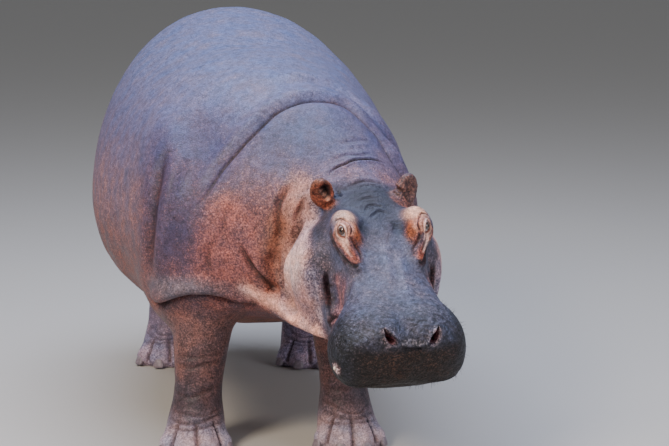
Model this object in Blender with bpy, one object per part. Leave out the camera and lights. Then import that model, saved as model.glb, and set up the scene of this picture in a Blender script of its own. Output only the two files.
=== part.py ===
"""A standing adult hippopotamus with its head lowered, life size, for Blender 4.5.

Units are metres and +Z is up. The animal faces -Y and its left side is +X. The body is one
closed skin drawn round a set of named forms that melt into each other. It is then parted with
thin cuts into trunk, neck, head, lower jaw, ears, legs and tail. The eyeballs sit in sockets.
"""

import math

import bmesh
import bpy
import numpy as np
from mathutils import Matrix, Vector

# ---- Driving dimensions ----------------------------------------------------------------------

FOREFOOT_Y = -0.72          # the forelegs stand here, and the hind legs behind them
STANCE_LENGTH = 1.47        # forefeet to hind feet
HINDFOOT_Y = FOREFOOT_Y + STANCE_LENGTH
POLL = Vector((0.291, -1.12, 1.018))    # top of the skull, midway between the ears
HEAD_PITCH = math.radians(29)   # mouth line below the horizontal
HEAD_TURN = math.radians(5)     # head swung to the animal's left
HEAD_TILT = math.radians(-1.5)  # head leaned over, its left side lower
EYEBALL_RADIUS = 0.026
EVEN_TRIANGLES = 13000      # the whole body thinned evenly, which settles the head's facets
BODY_TRIANGLES = 6380       # the whole body, before it is parted

GRID_LOW, GRID_HIGH = (-0.75, -2.0, -0.06), (0.80, 1.38, 1.59)     # holds the whole animal
COARSE_STEP = 0.030         # grid spacing that finds the skin
FINE_SPLIT = 3              # each coarse step is split this many times along the skin
CUT_GAP = 0.0004            # width of the cuts that part the body
SOLE_FLAT = 0.005           # what lies lower than this is pressed flat on the floor


# ---- Shape tools -----------------------------------------------------------------------------

def eased(stations, at):
    """Each column of stations, whose first column is the place, as a smooth curve read at `at`."""
    rows = np.array(stations, float)
    place, values = rows[:, 0], rows[:, 1:]
    run = np.diff(place)
    rise = np.diff(values, axis=0) / run[:, None]
    slope = np.zeros_like(values)
    slope[0], slope[-1] = rise[0], rise[-1]
    slope[1:-1] = (rise[:-1] * run[1:, None] + rise[1:] * run[:-1, None]) / (run[1:] + run[:-1])[:, None]
    at = np.clip(at, place[0], place[-1])
    k = np.clip(np.searchsorted(place, at, side="right") - 1, 0, len(run) - 1)
    t = ((at - place[k]) / run[k])[:, None]
    before, after = values[k], values[k + 1]
    span = run[k][:, None]
    curve = (
        (2 * t**3 - 3 * t**2 + 1) * before
        + (t**3 - 2 * t**2 + t) * span * slope[k]
        + (3 * t**2 - 2 * t**3) * after
        + (t**3 - t**2) * span * slope[k + 1]
    )
    return curve.T


def melt(first, second, reach):
    """Union of two fields, filleted over about `reach`."""
    share = np.clip(0.5 + 0.5 * (second - first) / reach, 0, 1)
    return second * (1 - share) + first * share - reach * share * (1 - share)


def carve(field, tool, reach):
    """Field with the tool taken away, its rim rounded over about `reach`."""
    return -melt(-field, tool, reach)


def ellipsoid(points, centre, radii, turn=None):
    """Signed field of an ellipsoid, turned by a 3x3 matrix whose columns are its axes."""
    offset = points - np.array(centre)
    if turn is not None:
        offset = offset @ np.array(turn)
    radii = np.array(radii)
    far = np.linalg.norm(offset / radii, axis=1)
    steep = np.linalg.norm(offset / radii**2, axis=1)
    return far * (far - 1) / np.maximum(steep, 1e-6)


def tapered_rod(points, start, end, start_radius, end_radius):
    """Signed field of a round rod that narrows from one end to the other."""
    start, end = np.array(start), np.array(end)
    axis = end - start
    along = np.clip((points - start) @ axis / (axis @ axis), 0, 1)
    nearest = start + along[:, None] * axis
    return np.linalg.norm(points - nearest, axis=1) - (start_radius + along * (end_radius - start_radius))


def loft(along, across, upward, stations, cap=0.1):
    """Field of a body drawn through oval sections, with round ends `cap` long.

    Each station is (place, across centre, half width, top, widest level, bottom, squareness).
    """
    middle, half_width, top, widest, bottom, squareness = eased(stations, along)
    wide = np.abs(across - middle) / half_width
    above, below = (upward - widest) / (top - widest), (widest - upward) / (widest - bottom)
    ring = (wide**squareness + np.maximum(above, below) ** squareness) ** (1 / squareness)
    radius = np.minimum(half_width, (top - bottom) / 2)
    beyond = np.maximum(np.maximum(stations[0][0] - along, along - stations[-1][0]), 0)
    return np.hypot(ring * radius, beyond * radius / cap) - radius


# ---- Head frame ------------------------------------------------------------------------------

HEAD_TURNED = (
    Matrix.Rotation(HEAD_TURN, 3, "Z")
    @ Matrix.Rotation(HEAD_PITCH, 3, "X")
    @ Matrix.Rotation(HEAD_TILT, 3, "Y")
)
HEAD_FORWARD = HEAD_TURNED @ Vector((0, -1, 0))
HEAD_LEFT = HEAD_TURNED @ Vector((1, 0, 0))
HEAD_UP = HEAD_TURNED @ Vector((0, 0, 1))


def on_head(forward, left, up):
    """World place of a point given in the head's own frame, from the poll."""
    return POLL + HEAD_FORWARD * forward + HEAD_LEFT * left + HEAD_UP * up


def head_axes():
    """The head's forward, left and up directions as the columns of a matrix."""
    return np.array([HEAD_FORWARD, HEAD_LEFT, HEAD_UP]).T


# ---- Trunk and neck --------------------------------------------------------------------------

# (forward, sideways centre, half width, spine, widest level, underline, squareness)
TRUNK_SECTIONS = [
    (-1.165, 0.00, 0.080, 1.000, 0.90, 0.81, 2.0),
    (-1.15, 0.00, 0.140, 1.075, 0.90, 0.76, 2.0),
    (-1.11, 0.00, 0.235, 1.180, 0.90, 0.69, 2.05),
    (-1.05, 0.00, 0.325, 1.285, 0.90, 0.625, 2.1),
    (-0.96, 0.00, 0.395, 1.380, 0.89, 0.565, 2.1),
    (-0.80, 0.00, 0.470, 1.475, 0.87, 0.50, 2.1),
    (-0.53, -0.01, 0.550, 1.520, 0.84, 0.42, 2.1),
    (-0.20, -0.01, 0.600, 1.485, 0.81, 0.355, 2.1),
    (0.10, -0.01, 0.595, 1.430, 0.80, 0.350, 2.15),
    (0.40, 0.00, 0.540, 1.400, 0.82, 0.39, 2.15),
    (0.62, 0.04, 0.465, 1.350, 0.86, 0.45, 2.1),
    (0.80, 0.105, 0.395, 1.262, 0.86, 0.485, 2.1),
    (0.95, 0.175, 0.325, 1.155, 0.82, 0.51, 2.1),
    (1.06, 0.235, 0.240, 1.050, 0.80, 0.56, 2.1),
]


def trunk_and_neck(points):
    x, y, z = points.T
    field = loft(-y, x, z, TRUNK_SECTIONS, 0.05)
    for side in (-1, 1):
        shoulder = ellipsoid(points, (side * 0.35, -0.58, 0.82), (0.15, 0.27, 0.38))
        shoulder_point = ellipsoid(points, (0.05 + side * 0.25, -0.74, 0.78), (0.16, 0.17, 0.27))
        haunch = ellipsoid(points, (side * 0.33, 0.74, 0.80), (0.18, 0.33, 0.42))
        field = melt(field, shoulder, 0.12)
        field = melt(field, shoulder_point, 0.12)
        field = melt(field, haunch, 0.14)
    return field


# ---- Legs ------------------------------------------------------------------------------------

# (height, sideways centre, half width, rear, middle, front, squareness), from the foot's centre
FORELEG_SECTIONS = [
    (0.03, 0.0, 0.112, 0.110, -0.020, -0.145, 2.2),
    (0.10, 0.0, 0.106, 0.100, -0.010, -0.122, 2.1),
    (0.20, 0.0, 0.089, 0.088, 0.000, -0.090, 2.0),
    (0.34, 0.0, 0.096, 0.100, 0.000, -0.092, 2.0),
    (0.50, 0.0, 0.122, 0.135, 0.010, -0.110, 2.0),
    (0.70, 0.0, 0.150, 0.170, 0.010, -0.150, 2.0),
]
HINDLEG_SECTIONS = [
    (0.03, 0.0, 0.105, 0.105, -0.020, -0.140, 2.2),
    (0.10, 0.0, 0.098, 0.095, -0.010, -0.115, 2.1),
    (0.20, 0.0, 0.084, 0.090, 0.005, -0.080, 2.0),
    (0.32, 0.0, 0.092, 0.125, 0.020, -0.085, 2.0),
    (0.46, 0.0, 0.120, 0.160, 0.020, -0.120, 2.0),
    (0.70, 0.0, 0.160, 0.190, 0.000, -0.190, 2.0),
]
# name: (foot x, foot y, sections, lean of the leg's top towards +X, towards +Y)
LEGS = {
    "foreleg_right": (-0.29, FOREFOOT_Y, FORELEG_SECTIONS, 0.06, 0.03),
    "foreleg_left": (0.28, FOREFOOT_Y, FORELEG_SECTIONS, -0.03, 0.05),
    "hindleg_right": (-0.28, HINDFOOT_Y, HINDLEG_SECTIONS, 0.03, 0.02),
    "hindleg_left": (0.30, HINDFOOT_Y - 0.10, HINDLEG_SECTIONS, -0.03, 0.08),
}
LEG_TOP = 0.70
TOE_SPREAD = (-62, -20, 20, 62)     # degrees either side of straight ahead


def leg(points, foot_x, foot_y, sections, lean_x, lean_y):
    x, y, z = points.T
    rise = np.clip(z, 0, LEG_TOP) / LEG_TOP
    field = loft(z, x - foot_x - lean_x * rise, y - foot_y - lean_y * rise, sections, 0.12)
    for angle in TOE_SPREAD:
        a = math.radians(angle)
        tip = (foot_x + 0.105 * math.sin(a), foot_y - 0.020 - 0.120 * math.cos(a), 0.036)
        root = (foot_x + 0.040 * math.sin(a), foot_y - 0.060 * math.cos(a), 0.085)
        field = melt(field, tapered_rod(points, root, tip, 0.056, 0.042), 0.022)
    return field


# ---- Head ------------------------------------------------------------------------------------

# In the head's frame: (forward, left centre, half width, top, widest level, bottom, squareness)
SKULL_SECTIONS = [
    (-0.05, 0.0, 0.120, -0.030, -0.14, -0.27, 2.0),
    (0.02, 0.0, 0.162, -0.004, -0.14, -0.31, 2.2),
    (0.11, 0.0, 0.178, 0.000, -0.13, -0.32, 2.4),
    (0.22, 0.0, 0.170, -0.010, -0.13, -0.31, 2.5),
    (0.32, 0.0, 0.158, -0.032, -0.14, -0.29, 2.5),
    (0.42, 0.0, 0.154, -0.054, -0.15, -0.27, 2.5),
    (0.51, 0.0, 0.168, -0.060, -0.165, -0.268, 2.6),
    (0.585, -0.004, 0.194, -0.058, -0.180, -0.294, 2.9),
    (0.65, -0.007, 0.205, -0.066, -0.190, -0.304, 3.3),
    (0.695, -0.007, 0.196, -0.088, -0.195, -0.296, 3.4),
]
JAW_SECTIONS = [
    (-0.04, 0.0, 0.120, -0.14, -0.28, -0.42, 2.1),
    (0.04, 0.0, 0.180, -0.12, -0.30, -0.480, 2.2),
    (0.13, 0.0, 0.228, -0.10, -0.30, -0.500, 2.2),
    (0.24, 0.0, 0.222, -0.12, -0.30, -0.485, 2.2),
    (0.35, 0.0, 0.185, -0.16, -0.30, -0.440, 2.2),
    (0.46, 0.0, 0.166, -0.20, -0.30, -0.397, 2.5),
    (0.55, 0.0, 0.174, -0.22, -0.30, -0.372, 3.0),
    (0.62, 0.0, 0.172, -0.23, -0.30, -0.356, 3.2),
    (0.65, 0.0, 0.155, -0.24, -0.30, -0.346, 3.2),
]
# Forward, left or right, up; for the right side (-1), then the left one
ORBIT_PLACES = {-1: (0.212, 0.120, -0.010), 1: (0.212, 0.137, -0.010)}
EYE_PLACES = {-1: (0.250, 0.130, 0.015), 1: (0.250, 0.141, 0.015)}
EAR_PLACES = {-1: (0.018, 0.136, -0.010), 1: (0.012, 0.116, -0.026)}
EYE_LOOK = Vector((0.55, 0.70, 0.45)).normalized()
# A valley runs down behind each cheek
CHEEK_VALLEY = [(0.000, 0.220, -0.080), (0.022, 0.283, -0.190), (0.030, 0.312, -0.300), (0.070, 0.300, -0.395)]
CHEEK_VALLEY_RADIUS = 0.030


def head(points):
    local = (points - np.array(POLL)) @ head_axes()
    forward, left, up = local.T
    skull = loft(forward, left, up, SKULL_SECTIONS, 0.035)
    jaw = loft(forward, left, up, JAW_SECTIONS, 0.035)
    for side in (-1, 1):
        forward_place, left_place, up_place = ORBIT_PLACES[side]
        orbit = ellipsoid(local, (forward_place, side * left_place, up_place), (0.088, 0.052, 0.050))
        tear_fold = tapered_rod(
            local, (0.258, side * 0.134, -0.012), (0.352, side * 0.110, -0.052), 0.028, 0.014
        )
        cheek = ellipsoid(local, (0.145, side * 0.170 - 0.010, -0.255), (0.145, 0.100, 0.180))
        nostril_mound = ellipsoid(local, (0.650, side * 0.075, -0.100), (0.070, 0.056, 0.046))
        lip_lobe = ellipsoid(local, (0.600, side * 0.131 - 0.007, -0.212), (0.112, 0.092, 0.102))
        skull = melt(skull, melt(orbit, tear_fold, 0.03), 0.05)
        skull = melt(skull, cheek, 0.05)
        skull = melt(skull, nostril_mound, 0.06)
        skull = melt(skull, lip_lobe, 0.07)
    return melt(skull, jaw, 0.025)


# ---- Ears and tail ---------------------------------------------------------------------------

def ear(points, side):
    """The right ear is pricked, the left one laid back and drawn in."""
    forward, left, up = EAR_PLACES[side]
    local = (points - np.array(on_head(forward, side * left, up))) @ head_axes()
    outward = Matrix.Rotation(-side * math.radians(14), 3, "X")
    laid_back = Matrix.Rotation(math.radians(-4 if side < 0 else -28), 3, "Y")
    axes = np.array(outward @ laid_back)
    shell = ellipsoid(local, axes @ (0.0, side * 0.026, 0.018), (0.029, 0.041, 0.062), axes)
    cup = ellipsoid(local, axes @ (0.032, side * 0.034, 0.026), (0.026, 0.026, 0.043), axes)
    return carve(shell, cup, 0.014)


def tail(points):
    root, middle, tip = (0.0, 1.04, 1.12), (0.0, 1.205, 0.94), (0.0, 1.225, 0.66)
    upper = tapered_rod(points, root, middle, 0.052, 0.034)
    lower = tapered_rod(points, middle, tip, 0.034, 0.018)
    return melt(upper, lower, 0.02)


# ---- The whole body as one field -------------------------------------------------------------

def throat_fold(points, side):
    """Roll of loose skin from the side of the chest to the jaw."""
    start = (0.155 + side * 0.250, -0.84, 0.620 + side * 0.015)
    end = on_head(0.330, side * 0.160, -0.365)
    dip = (Vector(start) + end) / 2 + Vector((-side * 0.020, 0, -0.018))
    rear = tapered_rod(points, start, dip, 0.034, 0.036)
    fore = tapered_rod(points, dip, end, 0.036, 0.022)
    return melt(rear, fore, 0.01)


def body(points):
    field = trunk_and_neck(points)
    field = melt(field, head(points), 0.06)
    for side in (-1, 1):
        corners = [on_head(forward, side * left, up) for forward, left, up in CHEEK_VALLEY]
        for start, end in zip(corners, corners[1:]):
            valley = tapered_rod(points, start, end, CHEEK_VALLEY_RADIUS, CHEEK_VALLEY_RADIUS)
            field = carve(field, valley, 0.035)
        field = melt(field, throat_fold(points, side), 0.045)
    for foot_x, foot_y, sections, lean_x, lean_y in LEGS.values():
        field = melt(field, leg(points, foot_x, foot_y, sections, lean_x, lean_y), 0.06)
    for side in (-1, 1):
        field = melt(field, ear(points, side), 0.030)
    field = melt(field, tail(points), 0.04)
    return np.maximum(field, -points[:, 2])


def sampled(field, axes):
    """The field on every corner of a grid, far from its zero only as a coarse guess."""
    coarse = [axis[::FINE_SPLIT] for axis in axes]
    corners = np.stack(np.meshgrid(*coarse, indexing="ij"), axis=-1)
    values = field(corners.reshape(-1, 3)).reshape(corners.shape[:3]).astype(np.float32)
    for k in range(3):
        places = np.arange(len(axes[k])) / FINE_SPLIT
        low = np.minimum(places.astype(int), len(coarse[k]) - 2)
        part = (places - low).reshape([-1 if j == k else 1 for j in range(3)]).astype(np.float32)
        values = np.take(values, low, k) * (1 - part) + np.take(values, low + 1, k) * part
    near = np.argwhere(np.abs(values) < 1.5 * COARSE_STEP)
    places = np.stack([axes[k][near[:, k]] for k in range(3)], axis=1)
    values[tuple(near.T)] = field(places)
    return values


def skin_round(field, low, high):
    """Closed quad skin where the field is zero, by surface nets on a grid."""
    step = COARSE_STEP / FINE_SPLIT
    counts = [math.ceil((b - a) / COARSE_STEP) * FINE_SPLIT + 1 for a, b in zip(low, high)]
    axes = [a + step * np.arange(count) for a, count in zip(low, counts)]
    values = sampled(field, axes)
    shape = values.shape
    total = np.zeros((*shape, 3), np.float32)
    count = np.zeros(shape, np.int8)
    quads = []
    for axis in range(3):
        near = [slice(None)] * 3
        far = [slice(None)] * 3
        near[axis], far[axis] = slice(0, -1), slice(1, None)
        a, b = values[tuple(near)], values[tuple(far)]
        place = np.argwhere((a < 0) != (b < 0))
        first, second = a[tuple(place.T)], b[tuple(place.T)]
        crossing = place.astype(float)
        crossing[:, axis] += first / (first - second)
        other, last = (axis + 1) % 3, (axis + 2) % 3
        corners = []
        for step_other, step_last in ((0, 0), (1, 0), (1, 1), (0, 1)):
            cell = place.copy()
            cell[:, other] -= step_other
            cell[:, last] -= step_last
            np.add.at(total, tuple(cell.T), crossing)
            np.add.at(count, tuple(cell.T), 1)
            corners.append(np.ravel_multi_index(tuple(cell.T), shape))
        quad = np.stack(corners, axis=1)
        inward = first > 0
        quad[inward] = quad[inward][:, ::-1]
        quads.append(quad)
    used, faces = np.unique(np.concatenate(quads), return_inverse=True)
    faces = faces.reshape(-1, 4)
    places = (total.reshape(-1, 3)[used] / count.reshape(-1)[used][:, None]) * step + np.array(low)
    return places, faces


def settled(field, places, rounds, nudge=0.002):
    """Places moved on to the zero of the field along its slope."""
    for _ in range(rounds):
        value = field(places)
        slope = np.stack(
            [field(places + nudge * np.eye(3)[k]) - value for k in range(3)], axis=1
        ) / nudge
        steep = np.maximum((slope**2).sum(axis=1), 0.05)
        move = -(value / steep)[:, None] * slope
        places = places + np.clip(move, -0.01, 0.01)
    return places


# ---- Parting the body ------------------------------------------------------------------------

def as_object(name, places, faces):
    mesh = bpy.data.meshes.new(name)
    mesh.from_pydata([tuple(place) for place in places], [], [tuple(face) for face in faces])
    made = bpy.data.objects.new(name, mesh)
    bpy.context.scene.collection.objects.link(made)
    return made


def mended(thing, rounds=4):
    """Opens the skin where it touches itself and closes the hole again."""
    shape = bmesh.new()
    shape.from_mesh(thing.data)
    for _ in range(rounds):
        pinched = [vertex for vertex in shape.verts if not vertex.is_manifold]
        if not pinched:
            break
        bmesh.ops.delete(shape, geom=pinched, context="VERTS")
        rim = [edge for edge in shape.edges if edge.is_boundary]
        bmesh.ops.holes_fill(shape, edges=rim, sides=0)
    bmesh.ops.triangulate(shape, faces=shape.faces)
    shape.to_mesh(thing.data)
    shape.free()


def settle_modifiers(thing):
    """Applies the object's modifiers."""
    finished = bpy.data.meshes.new_from_object(
        thing.evaluated_get(bpy.context.evaluated_depsgraph_get())
    )
    thing.modifiers.clear()
    thing.data = finished


def thinned(thing, triangles, spare_head=False):
    """Fewer facets, where the shape bends least, with those of the head left alone if asked."""
    modifier = thing.modifiers.new("thin", "DECIMATE")
    modifier.use_collapse_triangulate = True
    modifier.ratio = triangles / len(thing.data.polygons)
    if spare_head:
        group = thing.vertex_groups.new(name="spend")
        spend = [v.index for v in thing.data.vertices if (v.co - POLL).dot(HEAD_FORWARD) < -0.04]
        group.add(spend, 1, "REPLACE")
        modifier.vertex_group = group.name
    settle_modifiers(thing)
    thing.vertex_groups.clear()


def cut_with(thing, tool, operation):
    modifier = thing.modifiers.new("cut", "BOOLEAN")
    modifier.operation = operation
    modifier.solver = "EXACT"
    modifier.object = tool
    settle_modifiers(thing)


def prism(outline, thickness_axis, low, high):
    """Closed prism from an outline of (a, b) corners, drawn in the plane across one axis."""
    corners = []
    for level in (low, high):
        for a, b in outline:
            corner = [a, b]
            corner.insert(thickness_axis, level)
            corners.append(corner)
    count = len(outline)
    faces = [list(range(count)), list(range(count, 2 * count))]
    faces += [[k, (k + 1) % count, count + (k + 1) % count, count + k] for k in range(count)]
    return corners, faces


def grown(outline, gap):
    """The outline with every side moved outwards by the gap."""
    corners = [Vector(corner) for corner in outline]
    turn = sum(a.x * b.y - a.y * b.x for a, b in zip(corners, corners[1:] + corners[:1]))
    sign = 1 if turn > 0 else -1
    moved = []
    for before, here, after in zip(corners[-1:] + corners[:-1], corners, corners[1:] + corners[:1]):
        first, second = (here - before).normalized(), (after - here).normalized()
        out_first = Vector((first.y, -first.x)) * sign
        out_second = Vector((second.y, -second.x)) * sign
        middle = out_first + out_second
        moved.append(tuple(here + middle * gap / (1 + out_first.dot(out_second))))
    return moved


def take_off(rest, name, outline, thickness_axis, low, high, place=None):
    """Parts the piece inside a prism from the rest, leaving the thin cut between them."""
    piece = rest.copy()
    piece.data = rest.data.copy()
    piece.name = name
    bpy.context.scene.collection.objects.link(piece)
    for thing, gap in ((piece, 0.0), (rest, CUT_GAP)):
        corners, faces = prism(grown(outline, gap), thickness_axis, low - gap, high + gap)
        tool = as_object("tool", corners, faces)
        if place is not None:
            tool.data.transform(place)
        shape = bmesh.new()
        shape.from_mesh(tool.data)
        bmesh.ops.recalc_face_normals(shape, faces=shape.faces)
        shape.to_mesh(tool.data)
        shape.free()
        cut_with(thing, tool, "INTERSECT" if thing is piece else "DIFFERENCE")
        bpy.data.objects.remove(tool)
    return piece


def split(rest, name, point, normal):
    """Parts off what lies beyond a plane, the thin cut centred on it."""
    piece = rest.copy()
    piece.data = rest.data.copy()
    piece.name = name
    bpy.context.scene.collection.objects.link(piece)
    normal = normal.normalized()
    for thing, side in ((piece, 1), (rest, -1)):
        shape = bmesh.new()
        shape.from_mesh(thing.data)
        bmesh.ops.bisect_plane(
            shape, geom=shape.verts[:] + shape.edges[:] + shape.faces[:],
            plane_co=point + normal * side * CUT_GAP / 2, plane_no=normal * side,
            clear_inner=True, dist=1e-6,
        )
        rim = [edge for edge in shape.edges if edge.is_boundary]
        bmesh.ops.triangle_fill(shape, edges=rim, use_beauty=True, normal=-normal * side)
        bmesh.ops.recalc_face_normals(shape, faces=shape.faces)
        shape.to_mesh(thing.data)
        shape.free()
    return piece


def head_matrix():
    """Takes the head's own frame (forward, left, up) to the world."""
    place = Matrix((HEAD_FORWARD, HEAD_LEFT, HEAD_UP)).transposed().to_4x4()
    place.translation = POLL
    return place


# Outlines of the leg cuts, seen from the front: they slope up and outwards over the limb
FORELEG_CUT = [(0.09, -0.05), (0.09, 0.425), (0.72, 0.645), (0.72, -0.05)]
HINDLEG_CUT = [(0.07, -0.05), (0.07, 0.445), (0.72, 0.665), (0.72, -0.05)]
# Outline of the jaw cut, seen from the side in the head's frame: along the mouth, then down
JAW_CUT = [
    (0.90, -0.300), (0.66, -0.312), (0.56, -0.308), (0.48, -0.280), (0.41, -0.236),
    (0.35, -0.205), (0.31, -0.200), (0.285, -0.300), (0.270, -0.600), (0.90, -0.600),
]
TAIL_CUT = [(1.170, 0.55), (1.170, 0.985), (1.40, 1.12), (1.40, 0.55)]     # from the side
# Outline of the ear cuts, seen from the front, from each ear's own place
EAR_CUT = [(-0.032, 0.070), (0.026, -0.024), (0.15, -0.024), (0.15, 0.17), (-0.032, 0.17)]
# The head ends on a plane through these two places, in the head's frame
BEHIND_HEAD, UNDER_HEAD = (-0.045, 0, 0), (0.090, 0, -0.480)
NECK_BASE = Vector((0.11, -0.74, 0.95))
NECK_BASE_FACING = Vector((0.204, -0.959, 0.196))


def part_body(whole):
    pieces = []
    for name, (foot_x, foot_y, *_rest) in LEGS.items():
        side = 1 if foot_x > 0 else -1
        fore = name.startswith("fore")
        outline = [(side * x, z) for x, z in (FORELEG_CUT if fore else HINDLEG_CUT)]
        low, high = (foot_y - 0.21, foot_y + 0.165) if fore else (foot_y - 0.19, foot_y + 0.38)
        pieces.append(take_off(whole, name, outline, 1, low, high))
    pieces.append(take_off(whole, "tail", TAIL_CUT, 0, -0.15, 0.15))
    pieces.append(take_off(whole, "lower_jaw", JAW_CUT, 1, -0.40, 0.40, head_matrix()))
    for side, name, rear in ((-1, "ear_right", -0.030), (1, "ear_left", -0.060)):
        place = EAR_PLACES[side]
        outline = [(side * (place[1] + left), place[2] + up) for left, up in EAR_CUT]
        pieces.append(take_off(whole, name, outline, 0, rear, 0.100, head_matrix()))
    down_the_nape = on_head(*UNDER_HEAD) - on_head(*BEHIND_HEAD)
    head_piece = split(whole, "head", on_head(*BEHIND_HEAD), down_the_nape.cross(HEAD_LEFT))
    neck_piece = split(whole, "neck", NECK_BASE, NECK_BASE_FACING)
    whole.name = "trunk"
    return [whole, neck_piece, head_piece, *pieces]


def ball(name, centre, radius, look):
    """Eyeball whose poles lie along the look."""
    shape = bmesh.new()
    bmesh.ops.create_uvsphere(shape, u_segments=14, v_segments=8, radius=radius)
    turn = Vector((0, 0, 1)).rotation_difference(look).to_matrix().to_4x4()
    bmesh.ops.transform(shape, matrix=Matrix.Translation(centre) @ turn, verts=shape.verts)
    bmesh.ops.triangulate(shape, faces=shape.faces)
    made = as_object(name, [], [])
    shape.to_mesh(made.data)
    shape.free()
    return made


def set_eyes(head_piece):
    eyes = []
    for side, name in ((-1, "eye_right"), (1, "eye_left")):
        forward, left, up = EYE_PLACES[side]
        centre = on_head(forward, side * left, up)
        look = HEAD_TURNED @ Vector((side * EYE_LOOK.y, -EYE_LOOK.x, EYE_LOOK.z))
        socket = ball("socket", centre, EYEBALL_RADIUS + CUT_GAP, look)
        cut_with(head_piece, socket, "DIFFERENCE")
        bpy.data.objects.remove(socket)
        eyes.append(ball(name, centre, EYEBALL_RADIUS, look))
    return eyes


def material(name, colour, roughness):
    made = bpy.data.materials.new(name)
    made.diffuse_color = (*colour, 1)
    made.use_nodes = True
    shader = made.node_tree.nodes["Principled BSDF"]
    shader.inputs["Base Color"].default_value = (*colour, 1)
    shader.inputs["Roughness"].default_value = roughness
    return made


def plain_triangles(thing):
    """Merges near-touching points and leaves plain outward triangles."""
    shape = bmesh.new()
    shape.from_mesh(thing.data)
    bmesh.ops.triangulate(shape, faces=shape.faces)
    bmesh.ops.remove_doubles(shape, verts=shape.verts, dist=1e-5)
    bmesh.ops.dissolve_degenerate(shape, edges=shape.edges, dist=1e-5)
    bmesh.ops.triangulate(shape, faces=shape.faces)
    bmesh.ops.recalc_face_normals(shape, faces=shape.faces)
    shape.to_mesh(thing.data)
    shape.free()


def main():
    for old in list(bpy.data.objects):
        bpy.data.objects.remove(old)
    places, faces = skin_round(body, GRID_LOW, GRID_HIGH)
    whole = as_object("body", settled(body, places, 1), faces)
    mended(whole)
    thinned(whole, EVEN_TRIANGLES)
    thinned(whole, BODY_TRIANGLES, spare_head=True)
    corners = settled(body, np.array([vertex.co for vertex in whole.data.vertices]), 2)
    corners[corners[:, 2] < SOLE_FLAT, 2] = 0
    whole.data.vertices.foreach_set("co", corners.ravel())
    whole.data.update()
    nodes = part_body(whole)
    eyes = set_eyes(next(node for node in nodes if node.name == "head"))

    hide = material("hide", (0.16, 0.12, 0.13), 0.5)
    eyeball = material("eyeball", (0.05, 0.025, 0.015), 0.1)
    corners = np.array([vertex.co for node in nodes for vertex in node.data.vertices])
    low, high = corners.min(axis=0), corners.max(axis=0)
    shift = Matrix.Translation((-(low[0] + high[0]) / 2, -(low[1] + high[1]) / 2, -low[2]))
    for node in nodes + eyes:
        plain_triangles(node)
        node.data.transform(shift)
        node.data.name = node.name
        node.data.materials.clear()
        node.data.materials.append(eyeball if node in eyes else hide)


main()
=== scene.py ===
"""A standing adult hippopotamus, life size, with its head lowered and turned a little to its left.

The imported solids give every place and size. One hide is drawn over the solids of flesh and worked
into folds, and the eyeballs, toenails, tusk tip and bristles are separate pieces.
"""
import math

import bmesh
import bpy
import numpy as np
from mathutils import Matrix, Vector


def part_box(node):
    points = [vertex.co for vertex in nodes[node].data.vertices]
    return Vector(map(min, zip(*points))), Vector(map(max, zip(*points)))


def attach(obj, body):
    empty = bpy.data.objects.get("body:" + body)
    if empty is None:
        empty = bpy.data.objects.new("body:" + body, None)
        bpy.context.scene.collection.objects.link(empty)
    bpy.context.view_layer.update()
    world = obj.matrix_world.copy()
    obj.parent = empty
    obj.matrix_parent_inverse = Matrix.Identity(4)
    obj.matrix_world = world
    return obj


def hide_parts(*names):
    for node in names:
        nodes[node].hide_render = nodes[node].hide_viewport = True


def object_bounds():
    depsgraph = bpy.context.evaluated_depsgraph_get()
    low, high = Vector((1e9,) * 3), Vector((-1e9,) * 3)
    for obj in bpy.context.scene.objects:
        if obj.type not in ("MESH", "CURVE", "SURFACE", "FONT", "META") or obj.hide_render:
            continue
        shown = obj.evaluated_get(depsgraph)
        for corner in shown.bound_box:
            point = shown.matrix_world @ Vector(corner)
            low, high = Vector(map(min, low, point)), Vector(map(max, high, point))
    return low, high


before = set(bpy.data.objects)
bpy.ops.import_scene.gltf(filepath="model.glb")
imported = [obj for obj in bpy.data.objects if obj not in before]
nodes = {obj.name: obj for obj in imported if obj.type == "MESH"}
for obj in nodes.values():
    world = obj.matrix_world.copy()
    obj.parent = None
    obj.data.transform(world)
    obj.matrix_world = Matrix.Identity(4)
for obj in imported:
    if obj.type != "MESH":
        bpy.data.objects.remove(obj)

cad_low, cad_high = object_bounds()
root = "root"


# ---- Studio -----------------------------------------------------------------------------------
# A pale matt floor under soft light: a broad cool light overhead for the sheen on the back, a
# warmer one in front and a weak fill. The camera stands far off and looks slightly down.

def linear(hex_code):
    """A colour written as sRGB hex, as linear channels with a full alpha."""
    channels = [int(hex_code[i:i + 2], 16) / 255 for i in (0, 2, 4)]
    return [c / 12.92 if c <= 0.04045 else ((c + 0.055) / 1.055) ** 2.4 for c in channels] + [1.0]


def feed(tree, node, inputs):
    """Sets each input to a value, or links it to the output socket that feeds it."""
    for socket, value in inputs.items():
        if isinstance(value, bpy.types.NodeSocket):
            tree.links.new(value, node.inputs[socket])
        else:
            node.inputs[socket].default_value = value


def new_material(name):
    """A new material, its node tree and its shader."""
    material = bpy.data.materials.new(name)
    material.use_nodes = True
    return material, material.node_tree, material.node_tree.nodes["Principled BSDF"]


def placed(name, data):
    """A new object in the scene, holding the given mesh, lamp or camera."""
    thing = bpy.data.objects.new(name, data)
    bpy.context.collection.objects.link(thing)
    return thing


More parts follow.
